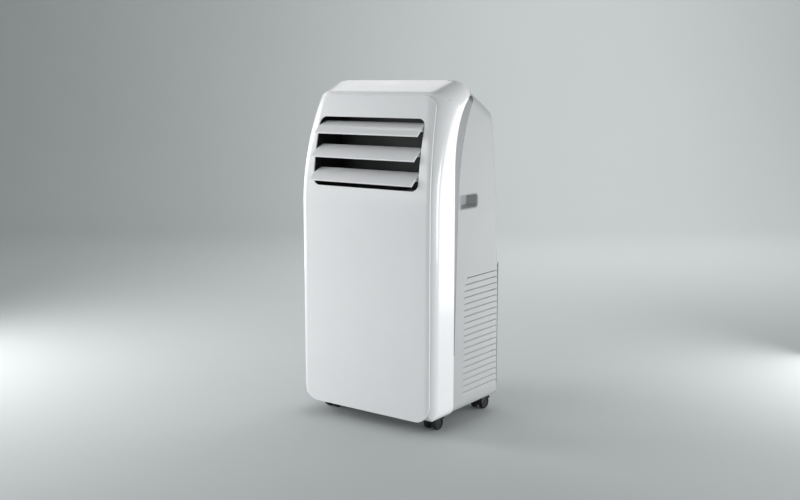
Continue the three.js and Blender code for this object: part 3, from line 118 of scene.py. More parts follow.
# Seam and silver strip on the side view: Y, and height from the ridge
SEAM_Y = -54
SEAM_BEND = ((-54, -160), (-51, -66), (-1, -28))
SEAM_ROOF = (16, -11)
STRIP_BEND = ((-41.5, -250), (-37, -102), (11, -35))
STRIP_TOP_DROP = 29
STRIP_FOOT = (-51.5, 150)
STRIP_PROUD = 1.5
CUP_RIM = 4  # from the hand recess's box in to its mouth
HANDLE_SCOOP = 1.6  # the pocket's front wall slopes back this much for each millimetre of depth

# Louvred sides
LOUVRE_COUNT = 19
LOUVRE_PITCH = 12.8
LOUVRE_FOOT_Z = 65
LOUVRE_SLOT = 2
LOUVRE_DEPTH = 2.3  # how far each slat sinks behind the lip above it
LOUVRE_FRONT_Y = -17
LOUVRE_REAR_Y = BACK_FACE_Y - 23
LOUVRE_STAGGER = (10, 4, 1.5)  # the top rows start further back

# Control plate
PLATE_FRONT_HALF = 110
PLATE_REAR_HALF = 124.5
KEY_RADIUS = 7.85
KEY_PITCH = 27
KEY_ROW = -10
KEY_NAMES = ("key_power", "key_mode", "key_fan", "key_up", "key_down")
WINDOW_SIZE = (46, 18)
WINDOW_ROW = 13

# Back
PORT_X = (PORT_LOW.x + PORT_HIGH.x) / 2
PORT_Z = (PORT_LOW.z + PORT_HIGH.z) / 2
PORT_BORE = 58
PORT_TUBE = 62
PORT_FLANGE = 8
PORT_FLANGE_Y = (131.5, 134)
VENT_PITCH = 11
VENT_HEIGHT = 4
VENT_END = 1.9
INTAKE_ROWS = 15
INTAKE_BORDER = 12
INTAKE_ROUND = 8
INTAKE_RIB_HALF = 3
INTAKE_SLOT_HALF = 4
COVER_HALF = 160
COVER_CORNER = 26
WINDOW_HALF = 110  # opening behind the lower cover
WINDOW_RIM = 12
WINDOW_ROUND = 8
DRAIN_HOLE = 4.4
GLAND_HOLE = 10.4
THROUGH_BACK = (100, 200)  # reach of the tools that pierce the back

# Castors
CASTOR_TRAIL = 9  # axle behind the stem
CASTOR_WEB_HALF = 4.5
CASTOR_BORE = 2.4
HOOD_INNER = 15.8
HOOD_OUTER = 17.8


# ---------------------------------------------------------------- outlines

def corner_arc(before, corner, after, radius, steps):
    """Points of the arc that rounds a corner between its two neighbours."""
    at = Vector(corner)
    back = (Vector(before) - at).normalized()
    on = (Vector(after) - at).normalized()
    half = math.acos(max(-1, min(1, back.dot(on)))) / 2
    middle = at + (back + on).normalized() * (radius / math.sin(half))
    start = at + back * (radius / math.tan(half)) - middle
    end = at + on * (radius / math.tan(half)) - middle
    turn = math.atan2(start.x * end.y - start.y * end.x, start.dot(end))
    return [tuple(Matrix.Rotation(turn * i / steps, 2) @ start + middle) for i in range(steps + 1)]


def rounded(corners, steps=8):
    """A closed outline from corners (u, v, radius)."""
    outline = []
    for i, (u, v, radius) in enumerate(corners):
        before, after = corners[i - 1][:2], corners[(i + 1) % len(corners)][:2]
        outline += corner_arc(before, (u, v), after, radius, steps) if radius else [(u, v)]
    return outline


def rectangle(u0, u1, v0, v1, radius=0, steps=8):
    return rounded([(u0, v0, radius), (u1, v0, radius), (u1, v1, radius), (u0, v1, radius)], steps)


def circle(u, v, radius, steps=64):
    turns = [2 * math.pi * i / steps for i in range(steps)]
    return [(u + radius * math.cos(a), v + radius * math.sin(a)) for a in turns]


def bend(start, pull, end, steps=16):
    """A smooth curve that leaves the start towards the pull point and arrives from it."""
    shares = [i / steps for i in range(steps + 1)]
    start, pull, end = Vector(start), Vector(pull), Vector(end)
    return [tuple(start * (1 - t) ** 2 + pull * 2 * t * (1 - t) + end * t * t) for t in shares]


def from_ridge(point):
    return point[0], RIDGE_Z + point[1]


# ---------------------------------------------------------------- bodies

def piece_from(name, points, faces):
    """A mesh piece from points in millimetres, with its faces turned outwards."""
    data = bpy.data.meshes.new(name)
    data.from_pydata([tuple(c * MM for c in p) for p in points], [], faces)
    piece = bpy.data.objects.new(name, data)
    bpy.context.scene.collection.objects.link(piece)
    mesh = bmesh.new()
    mesh.from_mesh(data)
    bmesh.ops.remove_doubles(mesh, verts=mesh.verts, dist=1e-7)
    bmesh.ops.recalc_face_normals(mesh, faces=mesh.faces)
    mesh.to_mesh(data)
    mesh.free()
    return piece


def loft(name, rings):
    """A closed body through rings with the same number of points, capped at both ends."""
    count = len(rings[0])
    faces = []
    for r in range(len(rings) - 1):
        for i in range(count):
            a, b = r * count + i, r * count + (i + 1) % count
            faces.append((a, b, b + count, a + count))
    last = (len(rings) - 1) * count
    faces += [tuple(range(count)), tuple(range(last, last + count))]
    return piece_from(name, [p for ring in rings for p in ring], faces)


PLANES = {
    "x": lambda u, v, t: (t, u, v),
    "y": lambda u, v, t: (u, t, v),
    "z": lambda u, v, t: (u, v, t),
}


def pushed(axis, outline, start, end, name="tool"):
    """An outline pushed along an axis. It is drawn in (Y, Z) for x, (X, Z) for y and (X, Y) for z."""
    return loft(name, [[PLANES[axis](u, v, t) for u, v in outline] for t in (start, end)])


def turned(name, profile, steps=48, axis="z", at=(0, 0, 0)):
    """A body of revolution from (radius, height) points that start and end on the axis."""
    points, rings = [], []
    for radius, height in profile:
        ring = [len(points)] if radius == 0 else list(range(len(points), len(points) + steps))
        turns = [0] if radius == 0 else [2 * math.pi * i / steps for i in range(steps)]
        for a in turns:
            placed = PLANES[axis](radius * math.cos(a), radius * math.sin(a), height)
            points.append(tuple(Vector(placed) + Vector(at)))
        rings.append(ring)
    faces = []
    for low, high in zip(rings, rings[1:]):
        for i in range(steps):
            a, b = low[i % len(low)], low[(i + 1) % len(low)]
            c, d = high[(i + 1) % len(high)], high[i % len(high)]
            face = tuple(dict.fromkeys((a, b, c, d)))
            if len(face) > 2:
                faces.append(face)
    return piece_from(name, points, faces)


def settle(piece):
    """Makes a piece's modifiers part of its mesh."""
    bpy.context.view_layer.update()
    shaped = piece.evaluated_get(bpy.context.evaluated_depsgraph_get())
    data = bpy.data.meshes.new_from_object(shaped)
    piece.modifiers.clear()
    piece.data = data
    data.name = piece.name


def worked(piece, operation, tools):
    """Cuts a piece with tools, joins them on, or keeps what they share. The tools are used up."""
    for tool in tools:
        step = piece.modifiers.new("work", "BOOLEAN")
        step.operation = operation
        step.solver = "MANIFOLD"
        step.object = tool
    settle(piece)
    for tool in tools:
        bpy.data.objects.remove(tool)
    return piece


def cut(piece, *tools):
    return worked(piece, "DIFFERENCE", tools)


def join(piece, *tools):
    return worked(piece, "UNION", tools)


def keep(piece, *tools):
    return worked(piece, "INTERSECT", tools)


def renamed(piece, name):
    piece.name = name
    piece.data.name = name
    return piece


def mirrored(piece, name):
    """A copy on the other side of the middle plane."""
    twin = bpy.data.objects.new(name, piece.data.copy())
    bpy.context.scene.collection.objects.link(twin)
    twin.data.transform(Matrix.Scale(-1, 4, Vector((1, 0, 0))))
    twin.data.flip_normals()
    return twin


def eased(piece, radius, segments=2, angle=32):
    """Smooth faces, and a moulded radius along every edge that is sharper than the angle in degrees."""
    mesh = bmesh.new()
    mesh.from_mesh(piece.data)
    bmesh.ops.remove_doubles(mesh, verts=mesh.verts, dist=2e-6)
    bmesh.ops.dissolve_limit(mesh, angle_limit=math.radians(0.05), verts=mesh.verts, edges=mesh.edges)
    for face in mesh.faces:
        face.smooth = True
    for edge in mesh.edges:
        edge.smooth = not (edge.is_manifold and edge.calc_face_angle(0) > math.radians(angle))
    mesh.to_mesh(piece.data)
    mesh.free()
    radius_step = piece.modifiers.new("edge radius", "BEVEL")
    radius_step.width = radius * MM
    radius_step.segments = segments
    radius_step.limit_method = "ANGLE"
    radius_step.angle_limit = math.radians(angle)
    radius_step.harden_normals = True
    shading = piece.modifiers.new("even shading", "WEIGHTED_NORMAL")
    shading.keep_sharp = True
    return piece


# ---------------------------------------------------------------- casing form

def lean_point(angle, depth):
    radius = LEAN_RADIUS - depth
    y = PANEL_FACE_Y + LEAN_RADIUS - radius * math.cos(angle)
    return (y, RIDGE_Z - LEAN_DROP + radius * math.sin(angle))


def back_y(z, depth):
    """Y of the back a depth inside the rear shell's face."""
    lean = BACK_RADIUS - math.sqrt(BACK_RADIUS ** 2 - max(z - BACK_BEND_Z, 0) ** 2)
    return BACK_FACE_Y - lean - depth


def crossing(a, along_a, b, along_b):
    """Where two lines meet, each given by a point and a direction."""
    a, along_a, b, along_b = (Vector(v) for v in (a, along_a, b, along_b))
    share = (b - a).cross(along_b) / along_a.cross(along_b)
    return tuple(a + along_a * share)


def corner_radius(share):
    """Radius of the hood's upright corners a share of the way up the lean."""
    return FRONT_CORNER + (BROW_CORNER - FRONT_CORNER) * share ** 2


def outline_corners():
    """Corners of the hood's side outline: point, radius there, and radius of the edge onto the side."""
    below = FOOT_Z - 90
    corners = [((HOOD_FACE_Y, below), 0, FRONT_CORNER)]
    lean_steps = 24
    for i in range(lean_steps + 1):
        share = i / lean_steps
        corners.append((lean_point(LEAN_ANGLE * share, HOOD_FACE_Y - PANEL_FACE_Y), 0, corner_radius(share)))
    plate_front = from_ridge(PLATE_FRONT)
    plate_run = (RIDGE_FRONT_Y - PLATE_FRONT[0], -PLATE_FRONT[1])
    lean = (math.sin(LEAN_ANGLE), math.cos(LEAN_ANGLE))
    corners.append((crossing(corners[-1][0], lean, plate_front, plate_run), BROW_ROUND, BROW_CORNER))
    ridge = crossing(plate_front, plate_run, (RIDGE_BACK_Y, RIDGE_Z), (1, -ROOF_FALL))
    slopes = (math.atan2(plate_run[1], plate_run[0]), math.atan(ROOF_FALL))
    half = (math.pi - sum(slopes)) / 2
    reach = math.cos((slopes[1] - slopes[0]) / 2) / math.sin(half) - 1
    corners.append((ridge, (ridge[1] - RIDGE_Z) / reach, SHOULDER))
    bend_top = RIDGE_Z - BACK_BEND_DROP
    back_run = (-(bend_top - BACK_BEND_Z), BACK_RADIUS)
    back_start = (back_y(bend_top, -REAR_STEP), bend_top)
    roof_end = crossing((RIDGE_BACK_Y, RIDGE_Z), (1, -ROOF_FALL), back_start, back_run)
    corners.append((roof_end, ROOF_END_ROUND, SHOULDER))
    back_steps = 12
    for i in range(back_steps + 1):
        z = bend_top + (BACK_BEND_Z - bend_top) * i / back_steps
        corners.append(((back_y(z, -REAR_STEP), z), 0, SHOULDER))
    corners.append(((BACK_FACE_Y + REAR_STEP, below), 0, SHOULDER))
    return corners


def inset_outline(corners, amounts, arc_steps=10):
    """The outline moved inwards, each corner by its own amount, with its roundings drawn afterwards."""
    def normal(a, b):
        return Vector((b[1] - a[1], a[0] - b[0])).normalized()

    points = [corner[0] for corner in corners]
    moved = []
    for i, point in enumerate(points):
        first = normal(points[i - 1], point) if i else normal(point, points[1])
        second = normal(point, points[i + 1]) if i + 1 < len(points) else first
        moved.append(tuple(Vector(point) + (first + second) * (amounts[i] / (1 + first.dot(second)))))
    outline = []
    for i, (_, radius, edge) in enumerate(corners):
        if radius:
            arc = corner_arc(moved[i - 1], moved[i], moved[i + 1], max(radius - amounts[i], 0.5), arc_steps)
            outline += [(point, edge) for point in arc]
        else:
            outline.append((moved[i], edge))
    return outline


def casing(inset, roll_steps=10):
    """The casing as one body, its whole surface moved inwards. Its edges roll over onto the flat sides."""
    corners = outline_corners()
    turns = [math.pi / 2 * i / roll_steps for i in range(roll_steps + 1)]
    rings = []
    for side, turn in [(-1, t) for t in reversed(turns)] + [(1, t) for t in turns]:
        amounts = [inset + max(edge - inset, 0.5) * (1 - math.cos(turn)) for _, _, edge in corners]
        ring = []
        for (y, z), edge in inset_outline(corners, amounts):
            x = HALF_WIDTH - inset - max(edge - inset, 0.5) * (1 - math.sin(turn))
            ring.append((side * x, y, z))
        rings.append(ring)
    return loft("tool", rings)


def above_skirt(inset):
    """Everything above the casing's lower edge, which curls under with a radius."""
    radius, foot, over = SKIRT_ROUND - inset, FOOT_Z + inset, RIDGE_Z + 100
    half = HALF_WIDTH - inset
    front, back = HOOD_FACE_Y + inset, BACK_FACE_Y + REAR_STEP - inset
    across_front = rounded([(-half, foot, radius), (half, foot, radius), (half, over, 0), (-half, over, 0)])
    across_side = rounded([(front, foot, radius), (back, foot, radius), (back, over, 0), (front, over, 0)])
    from_front = pushed("y", across_front, front - 50, back + 50)
    return keep(from_front, pushed("x", across_side, -half - 50, half + 50))


def block(x0, x1, y0, y1, z0, z1):
    return pushed("z", rectangle(x0, x1, y0, y1), z0, z1)


def shell(inset):
    """A moulded shell: the casing at an inset, hollow, with its lower edge curled under and open below."""
    outside = keep(casing(inset), above_skirt(inset))
    hollow = keep(casing(inset + WALL), above_skirt(inset + WALL))
    under = keep(casing(inset + SKIRT_LIP), block(-300, 300, -300, 300, 0, PAN_LOW.z))
    return cut(cut(outside, hollow), under)


def layer(outer, inner):
    return cut(casing(outer), casing(inner))


def seam_line(back):
    """The seam from the floor up over the roof, moved back by a distance."""
    curve = [from_ridge(point) for point in bend(*SEAM_BEND)]
    end, roof = from_ridge(SEAM_BEND[2]), from_ridge(SEAM_ROOF)
    past = (2 * roof[0] - end[0] + 30, 2 * roof[1] - end[1] + 30)
    return [(y + back, z) for y, z in [(SEAM_Y, -60), *curve, roof, past]]


def before_seam(back=0.0):
    line = seam_line(back)
    return pushed("x", [*line, (-260, line[-1][1]), (-260, -60)], -300, 300)


# ---------------------------------------------------------------- hood, front panel and control plate

def plate_outline(grow):
    run = math.hypot(RIDGE_FRONT_Y - PLATE_FRONT[0], PLATE_FRONT[1]) / 2 + grow
    front, rear = PLATE_FRONT_HALF + grow, PLATE_REAR_HALF + grow
    return rounded([(-front, -run, 1.5), (front, -run, 1.5), (rear, run, 1.5), (-rear, run, 1.5)], 3)


PLATE_FRAME = (
    Matrix.Translation(Vector((0, (PLATE_FRONT[0] + RIDGE_FRONT_Y) / 2, RIDGE_Z + PLATE_FRONT[1] / 2)) * MM)
    @ Matrix.Rotation(math.atan2(-PLATE_FRONT[1], RIDGE_FRONT_Y - PLATE_FRONT[0]), 4, "X")
)


def on_plate(piece):
    """Moves a body drawn about the plate's top face into its place on the casing."""
    piece.data.transform(PLATE_FRAME)
    return piece


def hood():
    side, foot = OUTLET_HALF + 3.4, RIDGE_Z - OUTLET_DROP - OUTLET_HEIGHT - DUCT_ROOM
    outlet = pushed("y", rectangle(-side, side, foot, RIDGE_Z - OUTLET_DROP + DUCT_ROOM), PANEL_FACE_Y, -29)
    recess = on_plate(pushed("z", plate_outline(GAP), -12, 12))
    made = cut(keep(shell(0), before_seam()), outlet, recess)
    return eased(renamed(made, "hood_moulding"), 0.7)


def outlet_outline(more, radius=OUTLET_ROUND):
    top = RIDGE_Z - OUTLET_DROP
    return rectangle(-OUTLET_HALF - more, OUTLET_HALF + more, top - OUTLET_HEIGHT - more, top + more, radius)


def front_moulding():
    half, foot, top = PANEL_HIGH.x, PANEL_LOW.z, PANEL_HIGH.z

    def edge(share):
        return half - PANEL_TAPER * (corner_radius(share) - FRONT_CORNER)

    right = [(half, foot, PANEL_FOOT_ROUND)]
    for i in range(25):
        z = lean_point(LEAN_ANGLE * i / 24, 0)[1]
        if z < top - PANEL_TOP_ROUND:
            right.append((edge(i / 24), z, 0))
    right.append((edge(1), top, PANEL_TOP_ROUND))
    left = [(-x, z, radius) for x, z, radius in reversed(right)]
    outline = rounded(right + left, 14)
    proud = HOOD_FACE_Y - PANEL_FACE_Y
    face = keep(layer(-proud, -GAP), pushed("y", outline, PANEL_FACE_Y - 1, 0))
    made = cut(face, pushed("y", outlet_outline(0), PANEL_FACE_Y - 1, 0))
    return eased(renamed(made, "front_panel_moulding"), PANEL_EDGE, 4)


def window_outline(grow):
    half, depth = WINDOW_SIZE[0] / 2 + grow, WINDOW_SIZE[1] / 2 + grow
    return rectangle(-half, half, WINDOW_ROW - depth, WINDOW_ROW + depth, 3 + grow, 4)


def key_x(i):
    return (i - (len(KEY_NAMES) - 1) / 2) * KEY_PITCH


def control_plate():
    plate = pushed("z", plate_outline(0), -WALL, 0)
    holes = [
        pushed("z", circle(key_x(i), KEY_ROW, KEY_RADIUS + 0.1), -WALL - 1, 1)
        for i in range(len(KEY_NAMES))
    ]
    made = cut(plate, *holes, pushed("z", window_outline(0.1), -WALL - 1, 1))
    return eased(on_plate(renamed(made, "control_plate_moulding")), 0.8, 3)


def key(i):
    """A key with a soft rim, flush with the plate."""
    profile = [
        (0, -6), (KEY_RADIUS - 0.3, -6), (KEY_RADIUS, -5.7),
        (KEY_RADIUS, -0.12), (KEY_RADIUS - 0.12, 0), (0, 0),
    ]
    made = turned(KEY_NAMES[i] + "_cap", profile, 48, "z", (key_x(i), KEY_ROW, 0))
    return eased(on_plate(made), 0.05, 1)


def display_lens():
    made = pushed("z", window_outline(0), -WALL, 0, "display_lens")
    return eased(on_plate(made), 0.08, 1)


# ---------------------------------------------------------------- outlet vanes

def vane_section():
    """The blade's section about its pivot: along the chord towards the lip, and up, before it is tilted."""
    half, steps = VANE_CHORD / 2, 14
    lip_u = half - VANE_LIP
    top, bottom = [], []
    for i in range(steps + 1):
        share = i / steps
        u = -half + (lip_u + half) * share
        rise = VANE_CAMBER * (1 - (2 * share - 1) ** 2)
        thick = VANE_THICK / 2 + (VANE_LIP - VANE_THICK / 2) * share
        top.append((u, rise + thick))
        bottom.append((u, rise - thick))
    turns = [math.radians(75 - 15 * i) for i in range(11)]
    lip = [(lip_u + VANE_LIP * math.cos(a), VANE_LIP * math.sin(a)) for a in turns]
    return top + lip + bottom[::-1]


def bar_outline(start, end, radius, steps=10):
    """A flat bar with round ends between two points."""
    angle = math.atan2(end[1] - start[1], end[0] - start[0])

    def cap(at, first):
        turns = [angle + first + math.pi * i / steps for i in range(steps + 1)]
        return [(at[0] + radius * math.cos(a), at[1] + radius * math.sin(a)) for a in turns]

    return cap(end, -math.pi / 2) + cap(start, math.pi / 2)


def vane_at(name, pivot):
    """A blade with its pins, its two ears and the crank that the link drives."""
    cos, sin = math.cos(VANE_TILT), math.sin(VANE_TILT)
    section = [(-u * cos - v * sin - VANE_AHEAD, -u * sin + v * cos) for u, v in vane_section()]
    blade = pushed("x", section, -VANE_HALF, VANE_HALF)
    reach = edges(name)[1].x
    pin = pushed("x", circle(0, 0, PIVOT_RADIUS, 24), -reach, reach)
    ear = bar_outline((0, 0), (-VANE_AHEAD, 0), PIVOT_RADIUS + 1)
    ears = [pushed("x", ear, *sorted((side * VANE_HALF, side * (VANE_HALF - WALL)))) for side in (-1, 1)]
    crank = pushed("x", bar_outline((0, 0), VANE_CRANK, PIVOT_RADIUS + 1), VANE_HALF - 1.6, VANE_HALF)
    link_pin = pushed("x", circle(*VANE_CRANK, 1.6, 16), VANE_HALF - 1, VANE_HALF + 2.7)
    made = join(blade, pin, *ears, crank, link_pin)
    made.data.transform(Matrix.Translation(Vector((0, *pivot)) * MM))
    return eased(renamed(made, name + "_blade"), 0.35, 2, 40)


# ---------------------------------------------------------------- rear shell, strips and handle recesses

def handle_outline(grow, from_front=0):
    radius = 9 + max(grow, -4)
    inset = CUP_RIM - grow
    front = CUP_LOW.y + inset + from_front
    return rectangle(front, CUP_HIGH.y - inset, CUP_LOW.z + inset, CUP_HIGH.z - inset, radius)


def louvre_tool(side, row):
    """What one louvre takes out of a side: a slot under the lip above, and a slope that fades out below."""
    z = LOUVRE_FOOT_Z + row * LOUVRE_PITCH
    face = HALF_WIDTH - REAR_STEP
    from_top = LOUVRE_COUNT - 1 - row
    front = LOUVRE_FRONT_Y + (LOUVRE_STAGGER[from_top] if from_top < len(LOUVRE_STAGGER) else 0)
    top = z + LOUVRE_SLOT
    slope_end = top - LOUVRE_PITCH + 1.4
    section = [
        (face + 1, top + 0.5), (face - 0.8, top - 0.3), (face - 5, top - 1.4),
        (face - 5, z), (face - LOUVRE_DEPTH, z), (face - LOUVRE_DEPTH * 0.45, z - 4),
        (face + 0.02, slope_end), (face + 1, slope_end),
    ]
    start = [(side * x, front + 3.5 * (face + 1 - x) / 3, height) for x, height in section]
    end = [(side * x, LOUVRE_REAR_Y - 0.8 * (face + 1 - x), height) for x, height in section]
    return loft("tool", [start, end])


def rear_moulding():
    behind = cut(shell(REAR_STEP), before_seam(GAP))
    handles = pushed("x", handle_outline(GAP), -300, 300)
    half = INTAKE_HIGH.x + GAP
    intake_edge = rectangle(-half, half, INTAKE_LOW.z - GAP, INTAKE_HIGH.z + GAP, INTAKE_ROUND)
    intake = pushed("y", intake_edge, 0, BACK_FACE_Y + 20)
    sill, head = COVER_LOW.z + WINDOW_RIM, COVER_HIGH.z - WINDOW_RIM
    window = rectangle(-WINDOW_HALF, WINDOW_HALF, sill, head, WINDOW_ROUND)
    plugs = []
    for node in ("drain_plug_lower", "drain_plug_upper"):
        low, high = edges(node)
        hole = circle((low.x + high.x) / 2, (low.z + high.z) / 2, DRAIN_HOLE, 32)
        plugs.append(pushed("y", hole, *THROUGH_BACK))
    made = cut(behind, handles, intake, pushed("y", window, 0, BACK_FACE_Y + 20), *plugs)
    for side in (-1, 1):
        made = cut(made, *[louvre_tool(side, row) for row in range(LOUVRE_COUNT)])
    return eased(renamed(made, "rear_shell_moulding"), 0.5)


def silver_strip():
    top = RIDGE_Z - STRIP_TOP_DROP
    front = [(y, z) for y, z in seam_line(GAP) if STRIP_FOOT[1] < z < top]
    rear = [from_ridge(point) for point in bend(*STRIP_BEND)]
    crown = [(STRIP_BEND[2][0] - 4, top), (STRIP_BEND[2][0] - 1.2, top - 1.6)]
    outline = [(SEAM_Y + GAP, STRIP_FOOT[1]), *front, *crown, *reversed(rear), STRIP_FOOT]
    skin = layer(REAR_STEP - GAP - STRIP_PROUD, REAR_STEP - GAP)
    made = keep(skin, pushed("x", outline, HALF_WIDTH / 2, HALF_WIDTH + 100))
    return eased(renamed(made, "silver_strip_right"), 0.45, 3)


def handle_recess():
    """A finger pocket: its floor slopes in from the front, and its mouth widens in a soft lip."""
    mouth = CUP_HIGH.x
    floor = CUP_LOW.x + WALL
    flange = mouth - WALL - GAP
    cup = join(
        pushed("x", handle_outline(0), CUP_LOW.x, mouth),
        pushed("x", handle_outline(4), flange - WALL, flange))
    rings = [[(mouth + 1, y, z) for y, z in handle_outline(-0.9)]]
    for depth, grow in ((0, -0.9), (1.2, -1.7), (3, -2.3), (12, -3.2), (mouth - floor, -4.6)):
        rings.append([(mouth - depth, y, z) for y, z in handle_outline(grow, HANDLE_SCOOP * depth)])
    made = cut(cup, loft("tool", rings))
    return eased(renamed(made, "handle_recess_right"), 0.35, 2, 25)


# ---------------------------------------------------------------- back

def intake_frame():
    """The intake grille: a curved frame with slanting bars and one upright rib."""
    half = INTAKE_HIGH.x
    outline = rectangle(-half, half, INTAKE_LOW.z, INTAKE_HIGH.z, INTAKE_ROUND)
    skin = keep(layer(REAR_STEP + 0.2, REAR_STEP + 3.2), pushed("y", outline, 0, BACK_FACE_Y + 20))
    edge, foot = half - INTAKE_BORDER, INTAKE_LOW.z + INTAKE_BORDER
    pitch = (INTAKE_HIGH.z - INTAKE_BORDER - foot) / INTAKE_ROWS
    tools = []
    for row in range(INTAKE_ROWS):
        z = foot + pitch * (row + 0.5)
        for x0, x1 in ((-edge, -INTAKE_RIB_HALF), (INTAKE_RIB_HALF, edge)):
            slot = rectangle(x0, x1, z - INTAKE_SLOT_HALF, z + INTAKE_SLOT_HALF, INTAKE_SLOT_HALF - 0.1, 6)
            tools.append(pushed("y", slot, 0, BACK_FACE_Y + 20))
    return eased(renamed(cut(skin, *tools), "intake_grille_moulding"), 0.8, 3)


def back_cover():
    """The lower back cover, wrapped round the corners, with vents beside and below the port."""
    plan = rounded([
        (-COVER_HALF, 0, 0), (COVER_HALF, 0, 0),
        (COVER_HALF, COVER_HIGH.y, COVER_CORNER), (-COVER_HALF, COVER_HIGH.y, COVER_CORNER),
    ], 14)
    whole = keep(
        pushed("z", plan, COVER_LOW.z, COVER_HIGH.z, "rear_cover_moulding"),
        block(-300, 300, COVER_LOW.y, 300, 0, RIDGE_Z))
    gland_low, gland_high = edges("cord_gland")
    gland = ((gland_low.x + gland_high.x) / 2, (gland_low.z + gland_high.z) / 2)
    tools = [
        pushed("y", circle(PORT_X, PORT_Z, PORT_TUBE + 0.4, 96), *THROUGH_BACK),
        pushed("y", circle(*gland, GLAND_HOLE, 48), *THROUGH_BACK),
    ]
    edge, reach = WINDOW_HALF, PORT_TUBE + PORT_FLANGE
    for i in range(7):
        z = PORT_Z + (i - 3) * VENT_PITCH
        slot = rectangle(-edge, PORT_X - reach, z, z + VENT_HEIGHT, VENT_END, 5)
        tools.append(pushed("y", slot, *THROUGH_BACK))
    for i in range(6):
        z = COVER_LOW.z + 20 + i * VENT_PITCH
        slot = rectangle(PORT_X - reach - 12, edge, z, z + VENT_HEIGHT, VENT_END, 5)
        tools.append(pushed("y", slot, *THROUGH_BACK))
    room = block(-WINDOW_HALF, WINDOW_HALF, 0, BACK_FACE_Y + GAP, 0, RIDGE_Z)
    made = cut(whole, casing(REAR_STEP - GAP), room, *tools)
    return eased(renamed(made, "rear_cover_moulding"), 0.8, 3)


def exhaust_ring():
    """The port's tube with its flange behind the cover and a softly rounded mouth."""
    face, inner = PORT_HIGH.y, PORT_LOW.y
    flange = PORT_TUBE + PORT_FLANGE
    front, back = PORT_FLANGE_Y
    profile = [
        (PORT_BORE, inner), (PORT_TUBE, inner), (PORT_TUBE, front),
        (flange, front), (flange, back),
        (PORT_TUBE, back), (PORT_TUBE, face - 0.8), (PORT_TUBE - 0.8, face), (PORT_BORE + 1.5, face),
        (PORT_BORE + 0.4, face - 0.5), (PORT_BORE, face - 1.6),
    ]
    steps = 96
    rings = []
    for i in range(steps):
        a = 2 * math.pi * i / steps
        rings.append([(PORT_X + r * math.cos(a), y, PORT_Z + r * math.sin(a)) for r, y in profile])
    count = len(profile)
    points = [p for ring in rings for p in ring]
    faces = []
    for i in range(steps):
        for j in range(count):
            a, b = i * count + j, i * count + (j + 1) % count
            c, d = (i + 1) % steps * count + (j + 1) % count, (i + 1) % steps * count + j
            faces.append((a, b, c, d))
    return eased(piece_from("exhaust_port_ring", points, faces), 0.2)


def drain_bung(node):
    low, high = edges(node)
    x, z = (low.x + high.x) / 2, (low.z + high.z) / 2
    head = high.y - 3
    profile = [
        (0, low.y), (3.4, low.y), (4, low.y + 0.8), (4, head),
        (6.4, head), (6.5, head + 0.5), (6.5, high.y - 0.7),
        (5.9, high.y - 0.05), (3.6, high.y - 0.05), (3.1, high.y - 0.9), (0, high.y - 0.9),
    ]
    return eased(turned(node + "_bung", profile, 40, "y", (x, 0, z)), 0.12, 1)


def cord_bush():
    low, high = edges("cord_gland")
    x, z = (low.x + high.x) / 2, (low.z + high.z) / 2
    rim = high.y - 4
    profile = [
        (0, low.y), (7, low.y), (7, rim), (9.8, rim), (10, rim + 0.3), (10, rim + 1.2), (9.4, rim + 1.6),
        (6.8, rim + 2.4), (6, high.y - 0.3), (5.6, high.y), (3.9, high.y),
        (3.5, high.y - 0.5), (3.5, rim + 1), (0, rim + 1),
    ]
    return eased(turned("cord_bush", profile, 40, "y", (x, 0, z)), 0.12, 1)


# ---------------------------------------------------------------- castors

def castor_wheel(node):
    """One moulded wheel with a tread radius, a dished face and a boss."""
    low, high = edges(node)
    y, z = (low.y + high.y) / 2, (low.z + high.z) / 2
    radius = (high.z - low.z) / 2
    outer, inner = (high.x, low.x) if "_right" == node[-6:] else (low.x, high.x)
    out = 1 if outer > inner else -1
    profile = [
        (0, inner + out * 0.6), (2.4, inner + out * 0.6), (2.4, inner),
        (radius - 1.6, inner), (radius - 0.4, inner + out * 0.6), (radius, inner + out * 1.8),
        (radius, outer - out * 2.2), (radius - 0.5, outer - out * 0.8),
        (radius - 1.6, outer), (radius - 3.4, outer),
        (radius - 4.2, outer - out * 0.9), (radius - 4.6, outer - out * 2),
        (4.2, outer - out * 2), (3.8, outer - out * 1.2),
        (3.2, outer - out * 0.9), (0, outer - out * 0.9),
    ]
    return eased(turned(node + "_moulding", profile, 56, "x", (0, y, z)), 0.15, 1)


def castor_hood(node):
    """Stem, web and curved hood of a twin-wheel castor."""
    low, high = edges(node)
    x = (low.x + high.x) / 2
    wheel = edges(node.replace("hood", "wheel") + "_right")
    y, z = (wheel[0].y + wheel[1].y) / 2, (wheel[0].z + wheel[1].z) / 2
    stem_y = y - CASTOR_TRAIL
    turns = [math.radians(20 + 150 * i / 18) for i in range(19)]

    def arc(radius):
        return [(y + radius * math.cos(a), z + radius * math.sin(a)) for a in turns]

    cover = pushed("x", arc(HOOD_OUTER) + arc(HOOD_INNER)[::-1], low.x, high.x)
    web_outline = [*arc(HOOD_OUTER - 0.5), (y - 5, z - 6), (y + 5, z - 6)]
    web = pushed("x", web_outline, x - CASTOR_WEB_HALF, x + CASTOR_WEB_HALF)
    neck = pushed("z", circle(x, stem_y, 7, 32), z + 8, PAN_LOW.z - GAP)
    stem = pushed("z", circle(x, stem_y, 4, 24), PAN_LOW.z - 1.4, high.z)
    made = join(cover, web, neck, stem)
    bore = pushed("x", circle(y, z, CASTOR_BORE, 24), x - 9, x + 9)
    rooms = [
        pushed("x", circle(y, z, HOOD_INNER, 64), *sorted((x + side * CASTOR_WEB_HALF, x + side * 16)))
        for side in (-1, 1)
    ]
    return eased(renamed(cut(made, bore, *rooms), node + "_moulding"), 0.4)


# ---------------------------------------------------------------- materials

